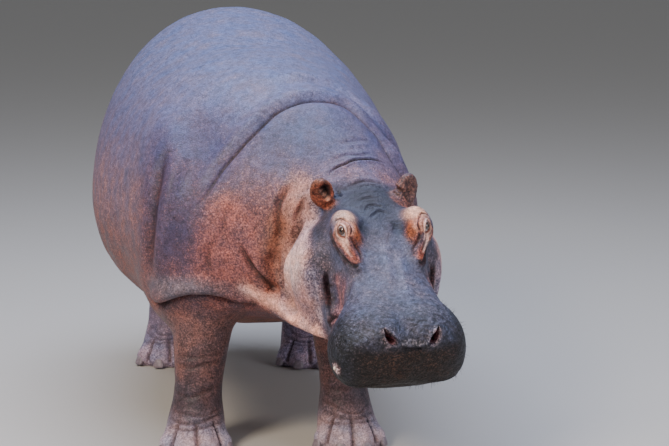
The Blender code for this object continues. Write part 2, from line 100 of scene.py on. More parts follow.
CAMERA_AZIMUTH, CAMERA_HEIGHT_ANGLE = math.radians(-8), math.radians(9.6)
CAMERA_DISTANCE = 9.64
CAMERA_AIM = Vector((0.311, -0.014, 0.746))
CAMERA_LENS, SENSOR_WIDTH = 134.5, 36     # millimetres
toward_camera = Vector((
    math.sin(CAMERA_AZIMUTH) * math.cos(CAMERA_HEIGHT_ANGLE),
    -math.cos(CAMERA_AZIMUTH) * math.cos(CAMERA_HEIGHT_ANGLE),
    math.sin(CAMERA_HEIGHT_ANGLE),
))
camera = placed("camera", bpy.data.cameras.new("camera"))
camera.data.sensor_width = SENSOR_WIDTH
camera.data.lens = CAMERA_LENS
camera.location = CAMERA_AIM + toward_camera * CAMERA_DISTANCE
camera.rotation_euler = (-toward_camera).to_track_quat("-Z", "Y").to_euler()
bpy.context.scene.camera = camera

world = bpy.data.worlds.new("studio")
world.use_nodes = True
sky = world.node_tree.nodes["Background"]
feed(world.node_tree, sky, {"Color": linear("d3d8e2"), "Strength": 0.40})
bpy.context.scene.world = world

# name, place, aimed at, side length, watts, colour
LIGHTS = [
    ("overhead", (0.0, 0.6, 5.6), (0, 0.3, 0.8), 4.6, 520, "d3e0ff"),
    ("key", (-3.2, -4.2, 4.8), (0.1, -0.3, 0.8), 1.7, 430, "fff2e2"),
    ("fill", (4.2, -3.6, 2.2), (0.2, -0.4, 0.8), 2.6, 90, "eef2ff"),
]
for name, spot, aim, side, watts, colour in LIGHTS:
    lamp = bpy.data.lights.new(name, "AREA")
    lamp.size = side
    lamp.energy = watts
    lamp.color = linear(colour)[:3]
    light = placed(name, lamp)
    light.location = spot
    light.rotation_euler = (Vector(aim) - Vector(spot)).to_track_quat("-Z", "Y").to_euler()

FLOOR_SIZE, FLOOR_GAP = 60, 0.0005
bpy.ops.mesh.primitive_plane_add(size=FLOOR_SIZE, location=(0, 0, cad_low.z - FLOOR_GAP))
floor = bpy.context.object
floor.name = "floor"
matt_floor, tree, shader = new_material("matt_floor")
feed(tree, shader, {"Base Color": linear("b3aea6"), "Roughness": 0.9})
floor.data.materials.append(matt_floor)


# ---- Hide: the plain skin ---------------------------------------------------------------------
# The living animal's hide is one bare skin, up to 6 cm thick, with no seam from lip to tail. The
# solids of flesh and the eyeballs are drawn together into one mesh, and their facets are eased.

FLESH = ["trunk", "neck", "head", "lower_jaw", "ear_left", "ear_right", "foreleg_left",
         "foreleg_right", "hindleg_left", "hindleg_right", "tail"]
EYES = ["eye_left", "eye_right"]
SKIN_VOXEL, WELD_DISTANCE = 0.006, 1e-5
HEAD_PITCH = math.radians(29)
EYES_FROM_POLL = (0.250, 0.0055, 0.015)     # forward, left and up, midway between the eyes

eye_centre = {name: sum(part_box(name), Vector()) / 2 for name in EYES}
head_left = (eye_centre["eye_left"] - eye_centre["eye_right"]).normalized()
level_ahead = head_left.cross(Vector((0, 0, 1))).normalized()
level_up = level_ahead.cross(head_left)
head_forward = level_ahead * math.cos(HEAD_PITCH) - level_up * math.sin(HEAD_PITCH)
head_up = level_up * math.cos(HEAD_PITCH) + level_ahead * math.sin(HEAD_PITCH)
poll = (eye_centre["eye_left"] + eye_centre["eye_right"]) / 2
for direction, distance in zip((head_forward, head_left, head_up), EYES_FROM_POLL):
    poll -= direction * distance
head_axes = np.array([head_forward, head_left, head_up])


def on_head(forward, left, up):
    """Place of a point given from the poll in the head's own frame."""
    return poll + head_forward * forward + head_left * left + head_up * up


def applied(thing):
    """The object's mesh as its modifiers leave it, in place of its own, with no modifier left."""
    evaluated = thing.evaluated_get(bpy.context.evaluated_depsgraph_get())
    mesh = bpy.data.meshes.new_from_object(evaluated)
    thing.modifiers.clear()
    thing.data = mesh
    return mesh


def read(items, field="co"):
    """One vector of each item, as rows."""
    values = np.empty(len(items) * 3, np.float32)
    items.foreach_get(field, values)
    return values.reshape(-1, 3).astype(float)


def write(mesh, places):
    """Moves the mesh's points to the given places."""
    mesh.vertices.foreach_set("co", places.astype(np.float32).ravel())
    mesh.update()


def smooth_step(low, high, value):
    """0 at the low value and 1 at the high one, with an even curve between them."""
    share = np.clip((value - low) / (high - low), 0, 1)
    return share * share * (3 - 2 * share)


def in_head(places):
    """The same places in the head's own frame: forward, left and up from the poll."""
    return (places - np.array(poll)) @ head_axes.T


gathered = bmesh.new()
for name in FLESH + EYES:
    gathered.from_mesh(nodes[name].data)
bmesh.ops.remove_doubles(gathered, verts=gathered.verts, dist=WELD_DISTANCE)
skin_mesh = bpy.data.meshes.new("hide")
gathered.to_mesh(skin_mesh)
gathered.free()
skin = placed("hide", skin_mesh)
drawn_together = skin.modifiers.new("drawn_together", "REMESH")
drawn_together.mode = "VOXEL"
drawn_together.voxel_size = SKIN_VOXEL
skin_mesh = applied(skin)
EASING_ROUNDS, EASING_STEP = 110, 0.9


def weight_group(thing, name, weights, levels=25):
    """A vertex group with the given weights, in even steps."""
    group = thing.vertex_groups.new(name=name)
    steps = np.round(weights * levels).astype(int)
    for step in range(1, levels + 1):
        group.add(np.flatnonzero(steps == step).tolist(), step / levels, "REPLACE")


def softened(thing, places, group):
    """The places after the facets are smoothed away, as far as the group's weights allow."""
    write(thing.data, places)
    ease = thing.modifiers.new("ease", "SMOOTH")
    ease.iterations = EASING_ROUNDS
    ease.factor = EASING_STEP
    ease.vertex_group = group
    evaluated = thing.evaluated_get(bpy.context.evaluated_depsgraph_get())
    smooth = read(evaluated.data.vertices)
    thing.modifiers.clear()
    return smooth


def near_points(places, points, reach):
    """1 at any of the points, falling to 0 at the given distance."""
    closest = np.full(len(places), 9.0)
    for point in points:
        closest = np.minimum(closest, np.linalg.norm(places - np.array(point), axis=1))
    return 1 - smooth_step(0.5 * reach, reach, closest)


ear_middle = {
    side: (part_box(f"ear_{side}")[0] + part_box(f"ear_{side}")[1]) / 2 for side in ("left", "right")
}
nostrils = [on_head(0.69, left, -0.070) for left in (0.072, -0.072)]
fine_places = [*eye_centre.values(), *ear_middle.values(), *nostrils]

# The barrel of the body is eased most. The head, legs, feet, tail, eyes, ears and nostrils keep
# more of their shape.
skin_places = read(skin_mesh.vertices)
head_places = in_head(skin_places)
on_head_share = smooth_step(-0.14, 0.06, head_places[:, 0]) * smooth_step(-0.62, -0.48, head_places[:, 2])
on_legs = 1 - smooth_step(0.30, 0.60, skin_places[:, 2])
on_feet = 1 - smooth_step(0.06, 0.16, skin_places[:, 2])
on_fine_places = near_points(skin_places, fine_places, 0.16)
on_free_tail = smooth_step(1.33, 1.38, skin_places[:, 1]) * (np.abs(skin_places[:, 0]) < 0.12)
looseness = np.ones(len(skin_places))
for firmness, part in ((0.82, on_head_share), (0.80, on_legs), (0.80, on_feet), (0.90, on_fine_places),
                       (0.70, on_free_tail)):
    looseness *= 1 - firmness * part
weight_group(skin, "looseness", np.clip(looseness, 0.02, 1))
once = softened(skin, skin_places, "looseness")
skin_places = softened(skin, 2 * skin_places - once, "looseness")
write(skin_mesh, skin_places)

# ---- Hide: tools that work the skin ------------------------------------------------------------
# Everything below is measured on the plain skin and gathered as a lift along its normals, a shift
# and a painted shade in the creases, so that no fold depends on the order in which they are made.

def refined(mesh, centres, reach):
    """Splits each face within reach of a centre into four."""
    middles = read(mesh.polygons, "center")
    near = np.zeros(len(middles), bool)
    for centre in centres:
        near |= np.linalg.norm(middles - np.array(centre), axis=1) < reach
    work = bmesh.new()
    work.from_mesh(mesh)
    work.faces.ensure_lookup_table()
    edges = {edge for index in np.flatnonzero(near) for edge in work.faces[index].edges}
    bmesh.ops.subdivide_edges(work, edges=list(edges), cuts=1, use_grid_fill=True)
    work.to_mesh(mesh)
    work.free()


FINE_REACH, FINEST_REACH = 0.085, 0.055
refined(skin_mesh, fine_places, FINE_REACH)
refined(skin_mesh, [*eye_centre.values(), *nostrils], FINEST_REACH)
plain = read(skin_mesh.vertices)
outward = read(skin_mesh.vertex_normals, "vector")
on_face = in_head(plain)
lift = np.zeros(len(plain))
shift = np.zeros_like(plain)
# painted shade: how dark each point is made, as in the shadow at the bottom of a crease or hollow
crease_shade = np.zeros(len(plain))
bpy.context.view_layer.update()


def laid(points, step):
    """A smooth line through the points, laid on the plain skin."""
    knots = np.array([list(point) for point in points], float)
    knots = np.vstack([2 * knots[0] - knots[1], knots, 2 * knots[-1] - knots[-2]])
    path = []
    for a, b, c, d in zip(knots[:-3], knots[1:-2], knots[2:-1], knots[3:]):
        count = max(2, round(np.linalg.norm(c - b) / step))
        t = np.arange(count)[:, None] / count
        curve = 2 * b + (c - a) * t + (2 * a - 5 * b + 4 * c - d) * t**2
        path.append(0.5 * (curve + (3 * b - 3 * c + d - a) * t**3))
    path = np.vstack([*path, knots[-2:-1]])
    return np.array([skin.closest_point_on_mesh(Vector(place))[1] for place in path])


def beside(line, reach):
    """Skin within reach of a line: which points, how far, on its left (+) or right, and the share
    of the line's length behind them."""
    roomy = np.flatnonzero(((plain > line.min(0) - reach) & (plain < line.max(0) + reach)).all(1))
    gap = np.full(len(roomy), np.inf)
    stop = np.zeros(len(roomy), int)
    here = plain[roomy]
    for start in range(0, len(line), 8):
        part = line[start:start + 8]
        inside = np.flatnonzero(((here > part.min(0) - reach) & (here < part.max(0) + reach)).all(1))
        if not len(inside):
            continue
        gaps = np.linalg.norm(here[inside, None] - part[None], axis=2)
        best = gaps.argmin(1)
        closer = gaps[np.arange(len(inside)), best] < gap[inside]
        gap[inside[closer]] = gaps[np.arange(len(inside)), best][closer]
        stop[inside[closer]] = start + best[closer]
    kept = gap < reach
    which, stop, gap = roomy[kept], stop[kept], gap[kept]
    tangent = np.gradient(line, axis=0)
    step = np.linalg.norm(tangent, axis=1, keepdims=True)
    tangent /= np.maximum(step, 1e-9)
    offset = plain[which] - line[stop]
    ahead = (offset * tangent[stop]).sum(1)
    across = offset - ahead[:, None] * tangent[stop]
    within = (stop > 0) & (stop < len(line) - 1)
    gap = np.where(within, np.linalg.norm(across, axis=1), gap)
    leftward = np.cross(outward[which], tangent[stop])
    side = np.sign((across * leftward).sum(1))
    along = np.clip((stop + ahead / step.mean()) / (len(line) - 1), 0, 1)
    return which, gap, side, along, leftward


# In widths of the crease: how far a fold reaches, the middle and breadth of its roll, the middle of
# the part that leans over, and the breadth of the shadow.
FOLD_REACH, ROLL_MIDDLE, ROLL_BREADTH, LEAN_MIDDLE, SHADOW_BREADTH = 4.5, 2.0, 1.1, 1.2, 0.75
FAR_ROLL = 0.25     # share of the roll on its far side


def fold(points, width, depth, roll=0.0, roll_side=0, overhang=0.0, ends=0.3, dark=0.8):
    """A crease along a line, with painted shade in it and a roll of skin on one side of it (+1 left, -1
    right) or both.
    """
    which, gap, side, along, leftward = beside(laid(points, width / 3), FOLD_REACH * width)
    taper = smooth_step(0, ends, np.minimum(along, 1 - along))
    rolled = np.where(side == roll_side, 1.0, FAR_ROLL if roll_side else 1.0)
    swell = np.exp(-((gap - ROLL_MIDDLE * width) / (ROLL_BREADTH * width)) ** 2) * rolled
    lift[which] += taper * (roll * swell - depth * np.exp(-(gap / width) ** 2))
    leaning = np.exp(-((gap - LEAN_MIDDLE * width) / width) ** 2) * (side == roll_side)
    shift[which] -= (taper * overhang * leaning * side)[:, None] * leftward
    shadow = taper * dark * np.exp(-(gap / (SHADOW_BREADTH * width)) ** 2)
    crease_shade[which] = np.maximum(crease_shade[which], shadow)


def swelling(centre, radii, height):
    """A rounded rise, or a hollow where the height is below zero."""
    offset = (plain - np.array(centre)) / np.array(radii)
    lift[:] += height * np.exp(-(offset**2).sum(1))


def on_both_sides(points):
    """The head's places, given for its right side, for the left side, a little fuller, and then
    the right."""
    for side, fuller in ((1, 0.010), (-1, 0.0)):
        yield side, [on_head(forward, side * (left + fuller), up) for forward, left, up in points]


def head_line(points):
    """The places of a line's points, given in the head's own frame."""
    return [on_head(*point) for point in points]


def fold_both(line, width, depth, roll_side=0, **form):
    """A crease on each side of the head. The roll's side is given for the left one."""
    for side, points in on_both_sides(line):
        fold(points, width, depth, roll_side=roll_side * side, **form)


# ---- Hide: eyes --------------------------------------------------------------------------------
# The eyes stand high on round bulges. Thick lids close on the eyeball, with creases that follow
# them, and a loose fold of wet skin runs down from each eye's front corner.

EYEBALL_RADIUS = (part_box("eye_left")[1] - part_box("eye_left")[0]).x / 2
WORKED_REACH = 3.2 * EYEBALL_RADIUS
EYE_LOOK = Vector((0.55, 0.70, 0.45)).normalized()     # forward, left and up on the head
EYE_SLANT = Vector((0.78, -0.30, -0.56))     # along the slit, towards its front corner
SLIT_HALF_LENGTH, SLIT_HALF_HEIGHT = math.radians(55), math.radians(31)
OPEN_DEPTH = 0.70 * EYEBALL_RADIUS     # the skin in the slit is pushed in behind the eyeball's face
LID_THICKNESS = 0.0036
LID_RIM, LID_RIM_WIDTH = 0.0016, 0.0025     # how far the lid's edge stands out, and over what width
LID_FILLET = 0.010
# distance from the lid's edge, depth, above (+1) or below (-1) the slit
LID_CREASES = [(0.0110, 0.0040, 1), (0.0080, 0.0026, -1)]
LID_CREASE_WIDTH = 0.0022


def on_side(direction, side):
    """A direction given for the head's left side, on the left (+1) or the right (-1)."""
    return head_forward * direction.x + head_left * side * direction.y + head_up * direction.z


eye_axes = {}
lid_rim = np.zeros(len(plain))
for side, name in ((1, "eye_left"), (-1, "eye_right")):
    centre = np.array(eye_centre[name])
    look = on_side(EYE_LOOK, side).normalized()
    slant = on_side(EYE_SLANT, side)
    corner = (slant - look * slant.dot(look)).normalized()
    brow = look.cross(corner)
    if brow.dot(head_up) < 0:
        brow = -brow
    eye_axes[name] = np.array([look, corner, brow])
    local = (plain - centre) @ eye_axes[name].T
    radius = np.linalg.norm(local, axis=1)
    near = np.flatnonzero(radius < WORKED_REACH)
    local, radius = local[near], radius[near]
    turned = np.arccos(np.clip(local[:, 0] / radius, -1, 1))
    spread = turned / np.maximum(np.hypot(local[:, 1], local[:, 2]), 1e-9)
    along_slit, up_slit = local[:, 1] * spread, local[:, 2] * spread
    open_height = SLIT_HALF_HEIGHT * np.clip(1 - (along_slit / SLIT_HALF_LENGTH) ** 2, 0, None) ** 0.8
    beyond_end = np.clip(np.abs(along_slit) - SLIT_HALF_LENGTH, 0, None)
    from_rim = np.hypot(np.abs(up_slit) - open_height, beyond_end)
    in_slit = (np.abs(up_slit) < open_height) & (beyond_end == 0)
    from_rim = np.where(in_slit, -from_rim, from_rim) * EYEBALL_RADIUS
    in_front = 1 - smooth_step(math.radians(85), math.radians(115), turned)
    lid_edge = LID_RIM * np.exp(-((from_rim - LID_RIM_WIDTH) / LID_RIM_WIDTH) ** 2)
    lid = EYEBALL_RADIUS + LID_THICKNESS + lid_edge
    overlap = np.clip(1 - np.abs(lid - radius) / LID_FILLET, 0, 1)
    lid_radius = np.maximum(lid, radius) + LID_FILLET / 4 * overlap**2
    rim_share = 1 - smooth_step(0.000, 0.010, from_rim)     # the lid itself hugs the eyeball
    lid_radius += rim_share * (lid - lid_radius)
    settled = radius + in_front * (lid_radius - radius)
    open_share = 1 - smooth_step(-0.0030, 0.0006, from_rim)
    settled += open_share * in_front * (OPEN_DEPTH - settled)
    for distance, depth, upper in LID_CREASES:
        wandering = distance * (1 - 0.35 * along_slit)
        band = np.exp(-((from_rim - wandering) / LID_CREASE_WIDTH) ** 2) * (np.sign(up_slit) == upper)
        band *= smooth_step(1.3, 0.5, np.abs(along_slit)) * in_front
        settled -= depth * band
        crease_shade[near] = np.maximum(crease_shade[near], band)
    shift[near] += ((settled - radius) / radius)[:, None] * (plain[near] - centre)
    rim_shadow = np.exp(-((from_rim + 0.0010) / 0.0022) ** 2) * in_front
    crease_shade[near] = np.maximum(crease_shade[near], rim_shadow)
    lid_rim[near] = np.exp(-((from_rim - 0.0045) / 0.0028) ** 2) * in_front

UPPER_LID_CREASE = [(0.213, 0.161, 0.020), (0.205, 0.148, 0.031), (0.212, 0.133, 0.038),
                    (0.235, 0.120, 0.038), (0.265, 0.114, 0.029), (0.284, 0.119, 0.018)]
TEAR_FOLD_OUTER = [(0.207, 0.172, -0.002), (0.241, 0.173, -0.010), (0.270, 0.164, -0.028),
                   (0.297, 0.149, -0.046), (0.342, 0.135, -0.046), (0.371, 0.114, -0.046),
                   (0.366, 0.098, -0.038)]
TEAR_FOLD_INNER = [(0.280, 0.120, 0.020), (0.295, 0.114, 0.010), (0.307, 0.101, -0.011),
                   (0.321, 0.088, -0.029), (0.349, 0.088, -0.036)]
TEAR_FOLD_SEAM = [(0.288, 0.146, 0.006), (0.308, 0.137, -0.008), (0.334, 0.120, -0.024),
                  (0.352, 0.109, -0.032)]
fold_both(UPPER_LID_CREASE, 0.0035, 0.004, roll=0.001, dark=1.0, ends=0.12)
fold_both(TEAR_FOLD_OUTER, 0.0060, 0.009, 1, roll=0.005, dark=1.0, ends=0.06)
fold_both(TEAR_FOLD_INNER, 0.005, 0.005, -1, roll=0.002, dark=0.8, ends=0.2)
fold_both(TEAR_FOLD_SEAM, 0.004, 0.004, roll=0.002, dark=0.7, ends=0.3)
for side in (1, -1):
    swelling(on_head(0.225, side * 0.070, -0.010), (0.028, 0.028, 0.040), -0.010)     # beside the brow
    swelling(on_head(0.120, side * 0.210, -0.095), (0.050, 0.045, 0.050), -0.009)     # behind the eye

# ---- Hide: muzzle ------------------------------------------------------------------------------
# The nostrils are slits with raised lips that shut under water. The upper lip hangs over the
# lower one, and at its rear end the mouth turns up into three upright folds beside the snout.

NOSTRIL_SLITS = [
    [(0.684, -0.083, -0.055), (0.708, -0.070, -0.068), (0.718, -0.057, -0.082), (0.721, -0.040, -0.098)],
    [(0.684, 0.104, -0.060), (0.710, 0.097, -0.073), (0.721, 0.085, -0.088), (0.725, 0.068, -0.101)],
]
NOSTRIL_HALF_WIDTH, NOSTRIL_DEPTH = 0.0150, 0.030
NOSTRIL_LIP, NOSTRIL_LIP_WIDTH = 0.0070, 0.0085


def slit(points):
    """An opening with raised lips and painted shade inside, pointed at its upper end and widest below its
    middle.
    """
    which, gap, side, along, leftward = beside(laid(points, 0.0015), 0.050)
    edge = gap - NOSTRIL_HALF_WIDTH * np.sin(np.pi * np.clip(along, 0.02, 0.98) ** 1.5) ** 0.7
    inside = 1 - smooth_step(-0.0080, 0.0015, edge)
    lip = np.exp(-(np.clip(edge, 0, None) / NOSTRIL_LIP_WIDTH) ** 2) * (1 - inside)
    lift[which] += NOSTRIL_LIP * lip - NOSTRIL_DEPTH * inside
    crease_shade[which] = np.maximum(crease_shade[which], inside)
    return which, edge


nostril_edge = np.full(len(plain), 1.0)
for points in NOSTRIL_SLITS:
    which, edge = slit(head_line(points))
    nostril_edge[which] = edge
UPPER_LIP_CREASE = [(0.722, -0.030, -0.118), (0.722, 0.012, -0.122), (0.726, 0.058, -0.120)]
fold(head_line(UPPER_LIP_CREASE), 0.007, 0.006, roll=0.006, roll_side=1, dark=0.6, ends=0.2)
TUSK_SWELLING = (0.688, -0.226, -0.216)     # where a tusk pushes the lip out
swelling(on_head(*TUSK_SWELLING), (0.022, 0.022, 0.026), 0.008)
MOUTH_LINE = [(0.735, 0.06, -0.300), (0.690, 0.200, -0.305), (0.600, 0.230, -0.312), (0.520, 0.190, -0.298),
              (0.450, 0.185, -0.262), (0.400, 0.180, -0.238), (0.370, 0.178, -0.275), (0.330, 0.180, -0.235)]
UPRIGHT_GROOVE = [(0.262, 0.186, -0.136), (0.288, 0.182, -0.183), (0.330, 0.177, -0.237),
                  (0.374, 0.177, -0.280), (0.395, 0.177, -0.325)]
UPRIGHT_FOLD_REAR = [(0.222, 0.222, -0.145), (0.255, 0.220, -0.205), (0.287, 0.210, -0.270),
                     (0.330, 0.195, -0.345)]
PINK_FOLD_FRONT = [(0.374, 0.130, -0.071), (0.422, 0.136, -0.100), (0.462, 0.152, -0.140),
                   (0.470, 0.170, -0.190), (0.445, 0.178, -0.235)]
fold_both(MOUTH_LINE, 0.007, 0.010, 1, roll=0.004, dark=0.9, ends=0.06)
fold_both(UPRIGHT_GROOVE, 0.007, 0.014, roll=0.008, dark=0.85, ends=0.25)
fold_both(UPRIGHT_FOLD_REAR, 0.012, 0.008, 1, roll=0.004, dark=0.45)
fold_both(PINK_FOLD_FRONT, 0.009, 0.006, roll=0.004, dark=0.4)
SNOUT_RIDGES = [[(0.250, -0.004, -0.015), (0.361, 0.000, -0.042), (0.488, -0.018, -0.059)],
                [(0.300, 0.040, -0.028), (0.419, 0.044, -0.055), (0.546, 0.038, -0.059)]]
for points in SNOUT_RIDGES:
    fold(head_line(points), 0.016, -0.005, dark=0)

# ---- Hide: brow, ears and nape -----------------------------------------------------------------
# Wrinkles cross the brow and run behind the ears. The skin at the root of each ear is pleated,
# and the ear is hollowed into a cup that opens forwards.

# line, width, depth, darkness of the painted shade
NAPE_CREASES = [
    ([(-0.070, -0.128, -0.018), (-0.107, -0.099, 0.002), (-0.125, -0.053, 0.012), (-0.143, -0.013, 0.013),
      (-0.161, 0.065, -0.005), (-0.165, 0.124, -0.039)], 0.0042, 0.007, 1.0),
    ([(-0.135, -0.110, 0.010), (-0.165, -0.045, 0.021), (-0.170, 0.018, 0.012), (-0.205, 0.075, -0.004)],
     0.0065, 0.003, 0.25),
    ([(-0.215, -0.060, 0.030), (-0.235, 0.000, 0.028), (-0.270, 0.070, 0.000)], 0.009, 0.0025, 0.1),
]
for points, width, depth, dark in NAPE_CREASES:
    fold(head_line(points), width, depth, roll=0.5 * depth, dark=dark)
BROW_WRINKLES = [
    [(0.045, -0.085, 0.0), (0.030, -0.030, 0.0), (0.020, 0.020, 0.0), (0.010, 0.100, -0.01)],
    [(0.078, -0.060, 0.0), (0.060, -0.010, 0.0), (0.062, 0.050, 0.0)],
    [(0.135, -0.035, 0.0), (0.100, -0.004, 0.0), (0.128, 0.050, 0.0)],
    [(0.175, -0.030, 0.0), (0.135, 0.020, 0.0), (0.165, 0.055, 0.0)],
    [(-0.020, -0.070, 0.0), (-0.045, 0.010, 0.0), (-0.030, 0.090, -0.01)],
]
for points in BROW_WRINKLES:
    fold(head_line(points), 0.006, 0.0035, roll=0.002, dark=0.4)
CUP_FORWARD, CUP_UP = 0.024, 0.014     # the cup's middle, from the ear's
CUP_RADII = (0.024, 0.026, 0.036)
CUP_DEPTH, CUP_LIP = 0.019, 0.004
ear_cup_shade = np.zeros(len(plain))
for side, name, inward in ((-1, "right", 0.013), (1, "left", 0.007)):
    cup_place = ear_middle[name] + head_forward * CUP_FORWARD - head_left * side * inward + head_up * CUP_UP
    offset = ((plain - np.array(cup_place)) @ head_axes.T) / np.array(CUP_RADII)
    from_cup = np.linalg.norm(offset, axis=1)
    lift -= CUP_DEPTH * (1 - smooth_step(0.2, 1.0, from_cup))
    lift += CUP_LIP * np.exp(-((from_cup - 1.15) / 0.22) ** 2)
    # painted shade in the cup's hollow
    ear_cup_shade = np.maximum(ear_cup_shade, 1 - smooth_step(0.70, 1.05, from_cup))
    crease_shade = np.maximum(crease_shade, 0.9 * (1 - smooth_step(0.35, 0.95, from_cup)))
TRAGUS = [(0.030, 0.160, 0.002), (0.026, 0.172, 0.016), (0.040, 0.146, -0.008)]
for side, points in on_both_sides(TRAGUS):
    for point in points:
        swelling(point, (0.008, 0.008, 0.008), 0.006)
EAR_FRONT = [(-0.020, 0.098, -0.012), (0.010, 0.108, -0.010), (0.034, 0.124, -0.012), (0.050, 0.148, -0.034)]
CHEEK_RIM = [(-0.010, 0.218, -0.110), (0.010, 0.238, -0.145), (0.028, 0.274, -0.208), (0.042, 0.296, -0.285),
             (0.070, 0.284, -0.360), (0.138, 0.258, -0.402), (0.220, 0.238, -0.395)]
REAR_OF_CHEEK = [(-0.120, 0.230, -0.050), (-0.077, 0.285, -0.105), (-0.040, 0.292, -0.175),
                 (-0.020, 0.296, -0.240)]
EAR_ROOT = [(-0.048, 0.209, -0.056), (-0.031, 0.219, -0.087), (-0.021, 0.233, -0.122),
            (-0.009, 0.242, -0.157)]
fold_both(EAR_FRONT, 0.006, 0.006, roll=0.004, dark=0.8, ends=0.2)
fold_both(CHEEK_RIM, 0.015, 0.018, 1, roll=0.014, dark=0.75, ends=0.15)
fold_both(REAR_OF_CHEEK, 0.013, 0.012, 1, roll=0.005, dark=0.55)
fold_both(EAR_ROOT, 0.009, 0.008, roll=0.004, dark=0.5)

# ---- Hide: neck, shoulders and chest -----------------------------------------------------------
# One deep crease rings the root of the neck like a collar. The skin hangs in a thick roll over
# each elbow, and creases run down the chest to the fold of the throat.

COLLAR = [(-0.300, -0.610, 0.870), (-0.235, -0.640, 0.965), (-0.181, -0.630, 1.053), (-0.115, -0.620, 1.129),
          (-0.033, -0.595, 1.207), (0.045, -0.555, 1.260), (0.170, -0.509, 1.284), (0.282, -0.492, 1.258),
          (0.337, -0.541, 1.212), (0.388, -0.591, 1.152), (0.438, -0.665, 1.063), (0.480, -0.680, 0.930),
          (0.490, -0.660, 0.800)]
OUTER_COLLAR = [(-0.060, -0.420, 1.290), (0.092, -0.400, 1.338), (0.248, -0.341, 1.318),
                (0.349, -0.411, 1.251), (0.404, -0.535, 1.166), (0.460, -0.560, 1.050)]
fold(COLLAR, 0.0065, 0.009, dark=0.8, ends=0.2)
fold(COLLAR, 0.024, 0.006, roll=0.012, roll_side=1, dark=0.0, ends=0.3)
fold(OUTER_COLLAR, 0.030, 0.008, roll=0.006, dark=0.0)
ELBOW_FOLD = [(0.425, -0.430, 0.545), (0.395, -0.505, 0.548), (0.349, -0.571, 0.584), (0.298, -0.608, 0.604),
              (0.246, -0.634, 0.608), (0.186, -0.640, 0.589), (0.125, -0.640, 0.566), (0.060, -0.700, 0.560)]
ELBOW_ROLL = [(0.410, -0.440, 0.600), (0.380, -0.520, 0.606), (0.335, -0.585, 0.634), (0.280, -0.615, 0.648),
              (0.220, -0.640, 0.640), (0.160, -0.650, 0.615)]
SHOULDER_REAR = [(0.340, -0.470, 1.150), (0.405, -0.540, 0.975), (0.425, -0.540, 0.796),
                 (0.420, -0.480, 0.615)]
for side in (-1, 1):
    elbow_fold, elbow_roll, shoulder_rear = (
        [(side * x, y, z) for x, y, z in line] for line in (ELBOW_FOLD, ELBOW_ROLL, SHOULDER_REAR)
    )
    fold(elbow_fold, 0.015, 0.028, roll=0.010, roll_side=-side, overhang=0.012, dark=0.70, ends=0.15)
    fold(elbow_roll, 0.034, -0.032, dark=0, ends=0.35)
    fold(shoulder_rear, 0.030, 0.020, roll=0.014, roll_side=-side, dark=0.45)
# line, width, depth, darkness of the painted shade
CHEST_CREASES = [
    ([(-0.138, -0.724, 0.822), (-0.112, -0.736, 0.762), (-0.067, -0.752, 0.691), (-0.005, -0.790, 0.640),
      (0.060, -0.880, 0.595)], 0.012, 0.014, 0.8),
    ([(-0.214, -0.690, 0.828), (-0.238, -0.677, 0.736), (-0.223, -0.664, 0.661)], 0.016, 0.006, 0.3),
    ([(-0.330, -0.640, 0.900), (-0.345, -0.640, 0.800), (-0.330, -0.620, 0.700)], 0.022, 0.006, 0.1),
    ([(-0.170, -0.720, 0.950), (-0.190, -0.715, 0.870), (-0.180, -0.710, 0.790)], 0.016, 0.004, 0.2),
]
for points, width, depth, dark in CHEST_CREASES:
    fold(points, width, depth, roll=0.5 * depth, dark=dark)
THROAT_ROLL = [(-0.150, -0.670, 0.660), (-0.098, -0.700, 0.628), (-0.008, -0.765, 0.591),
               (0.065, -0.890, 0.546), (0.122, -0.995, 0.530), (0.150, -1.060, 0.530)]
fold(THROAT_ROLL, 0.026, -0.016, dark=0, ends=0.2)

# ---- Hide: tail --------------------------------------------------------------------------------
# A short thick tail of bone under skin, round at its root and flattened from side to side towards
# its tip. A crease on each side parts its root from the rump.

TAIL_X = 0.011
TAIL_LINE = [Vector((TAIL_X, y, z)) for y, z in (
    (1.300, 1.100), (1.400, 1.020), (1.437, 0.930), (1.452, 0.800), (1.459, 0.665))]
TAIL_HALF_WIDTHS = (0.075, 0.056, 0.042, 0.028, 0.014)
TAIL_HALF_DEPTHS = (0.080, 0.058, 0.044, 0.034, 0.022)
on_tail = np.flatnonzero((plain[:, 1] > 1.33) & (plain[:, 2] < 1.12) & (np.abs(plain[:, 0] - TAIL_X) < 0.10))
here = plain[on_tail]
nearest = np.full(len(here), np.inf)
tail_middle = np.zeros_like(here)
tail_stop = np.zeros(len(here))
for stop, (start, end) in enumerate(zip(TAIL_LINE, TAIL_LINE[1:])):
    start, end = np.array(start), np.array(end)
    share = np.clip((here - start) @ (end - start) / ((end - start) @ (end - start)), 0, 1)
    point = start + share[:, None] * (end - start)
    gap = np.linalg.norm(here - point, axis=1)
    closer = gap < nearest
    nearest[closer] = gap[closer]
    tail_middle[closer] = point[closer]
    tail_stop[closer] = stop + share[closer]
half_width = np.interp(tail_stop, range(5), TAIL_HALF_WIDTHS)
half_depth = np.interp(tail_stop, range(5), TAIL_HALF_DEPTHS)
ray = (here - tail_middle) / np.maximum(nearest, 1e-9)[:, None]
ring = 1 / np.hypot(ray[:, 0] / half_width, np.hypot(ray[:, 1], ray[:, 2]) / half_depth)
free = smooth_step(0.50, 1.60, tail_stop) * (1 - smooth_step(0.075, 0.095, nearest))
shift[on_tail] += (free * (ring - nearest))[:, None] * ray
# out from the tail's middle, back and up
ROOT_CREASE = [(0.075, 1.290, 1.110), (0.062, 1.345, 1.040), (0.050, 1.372, 0.960), (0.055, 1.362, 0.860)]
for side in (-1, 1):
    fold([(TAIL_X + side * out, y, z) for out, y, z in ROOT_CREASE], 0.014, 0.006, roll=0.004, dark=0.3)

# ---- Hide: feet --------------------------------------------------------------------------------
# Each foot has four toes, parted by short grooves. Thin creases ring the wrist, and looser ones
# the leg above it.

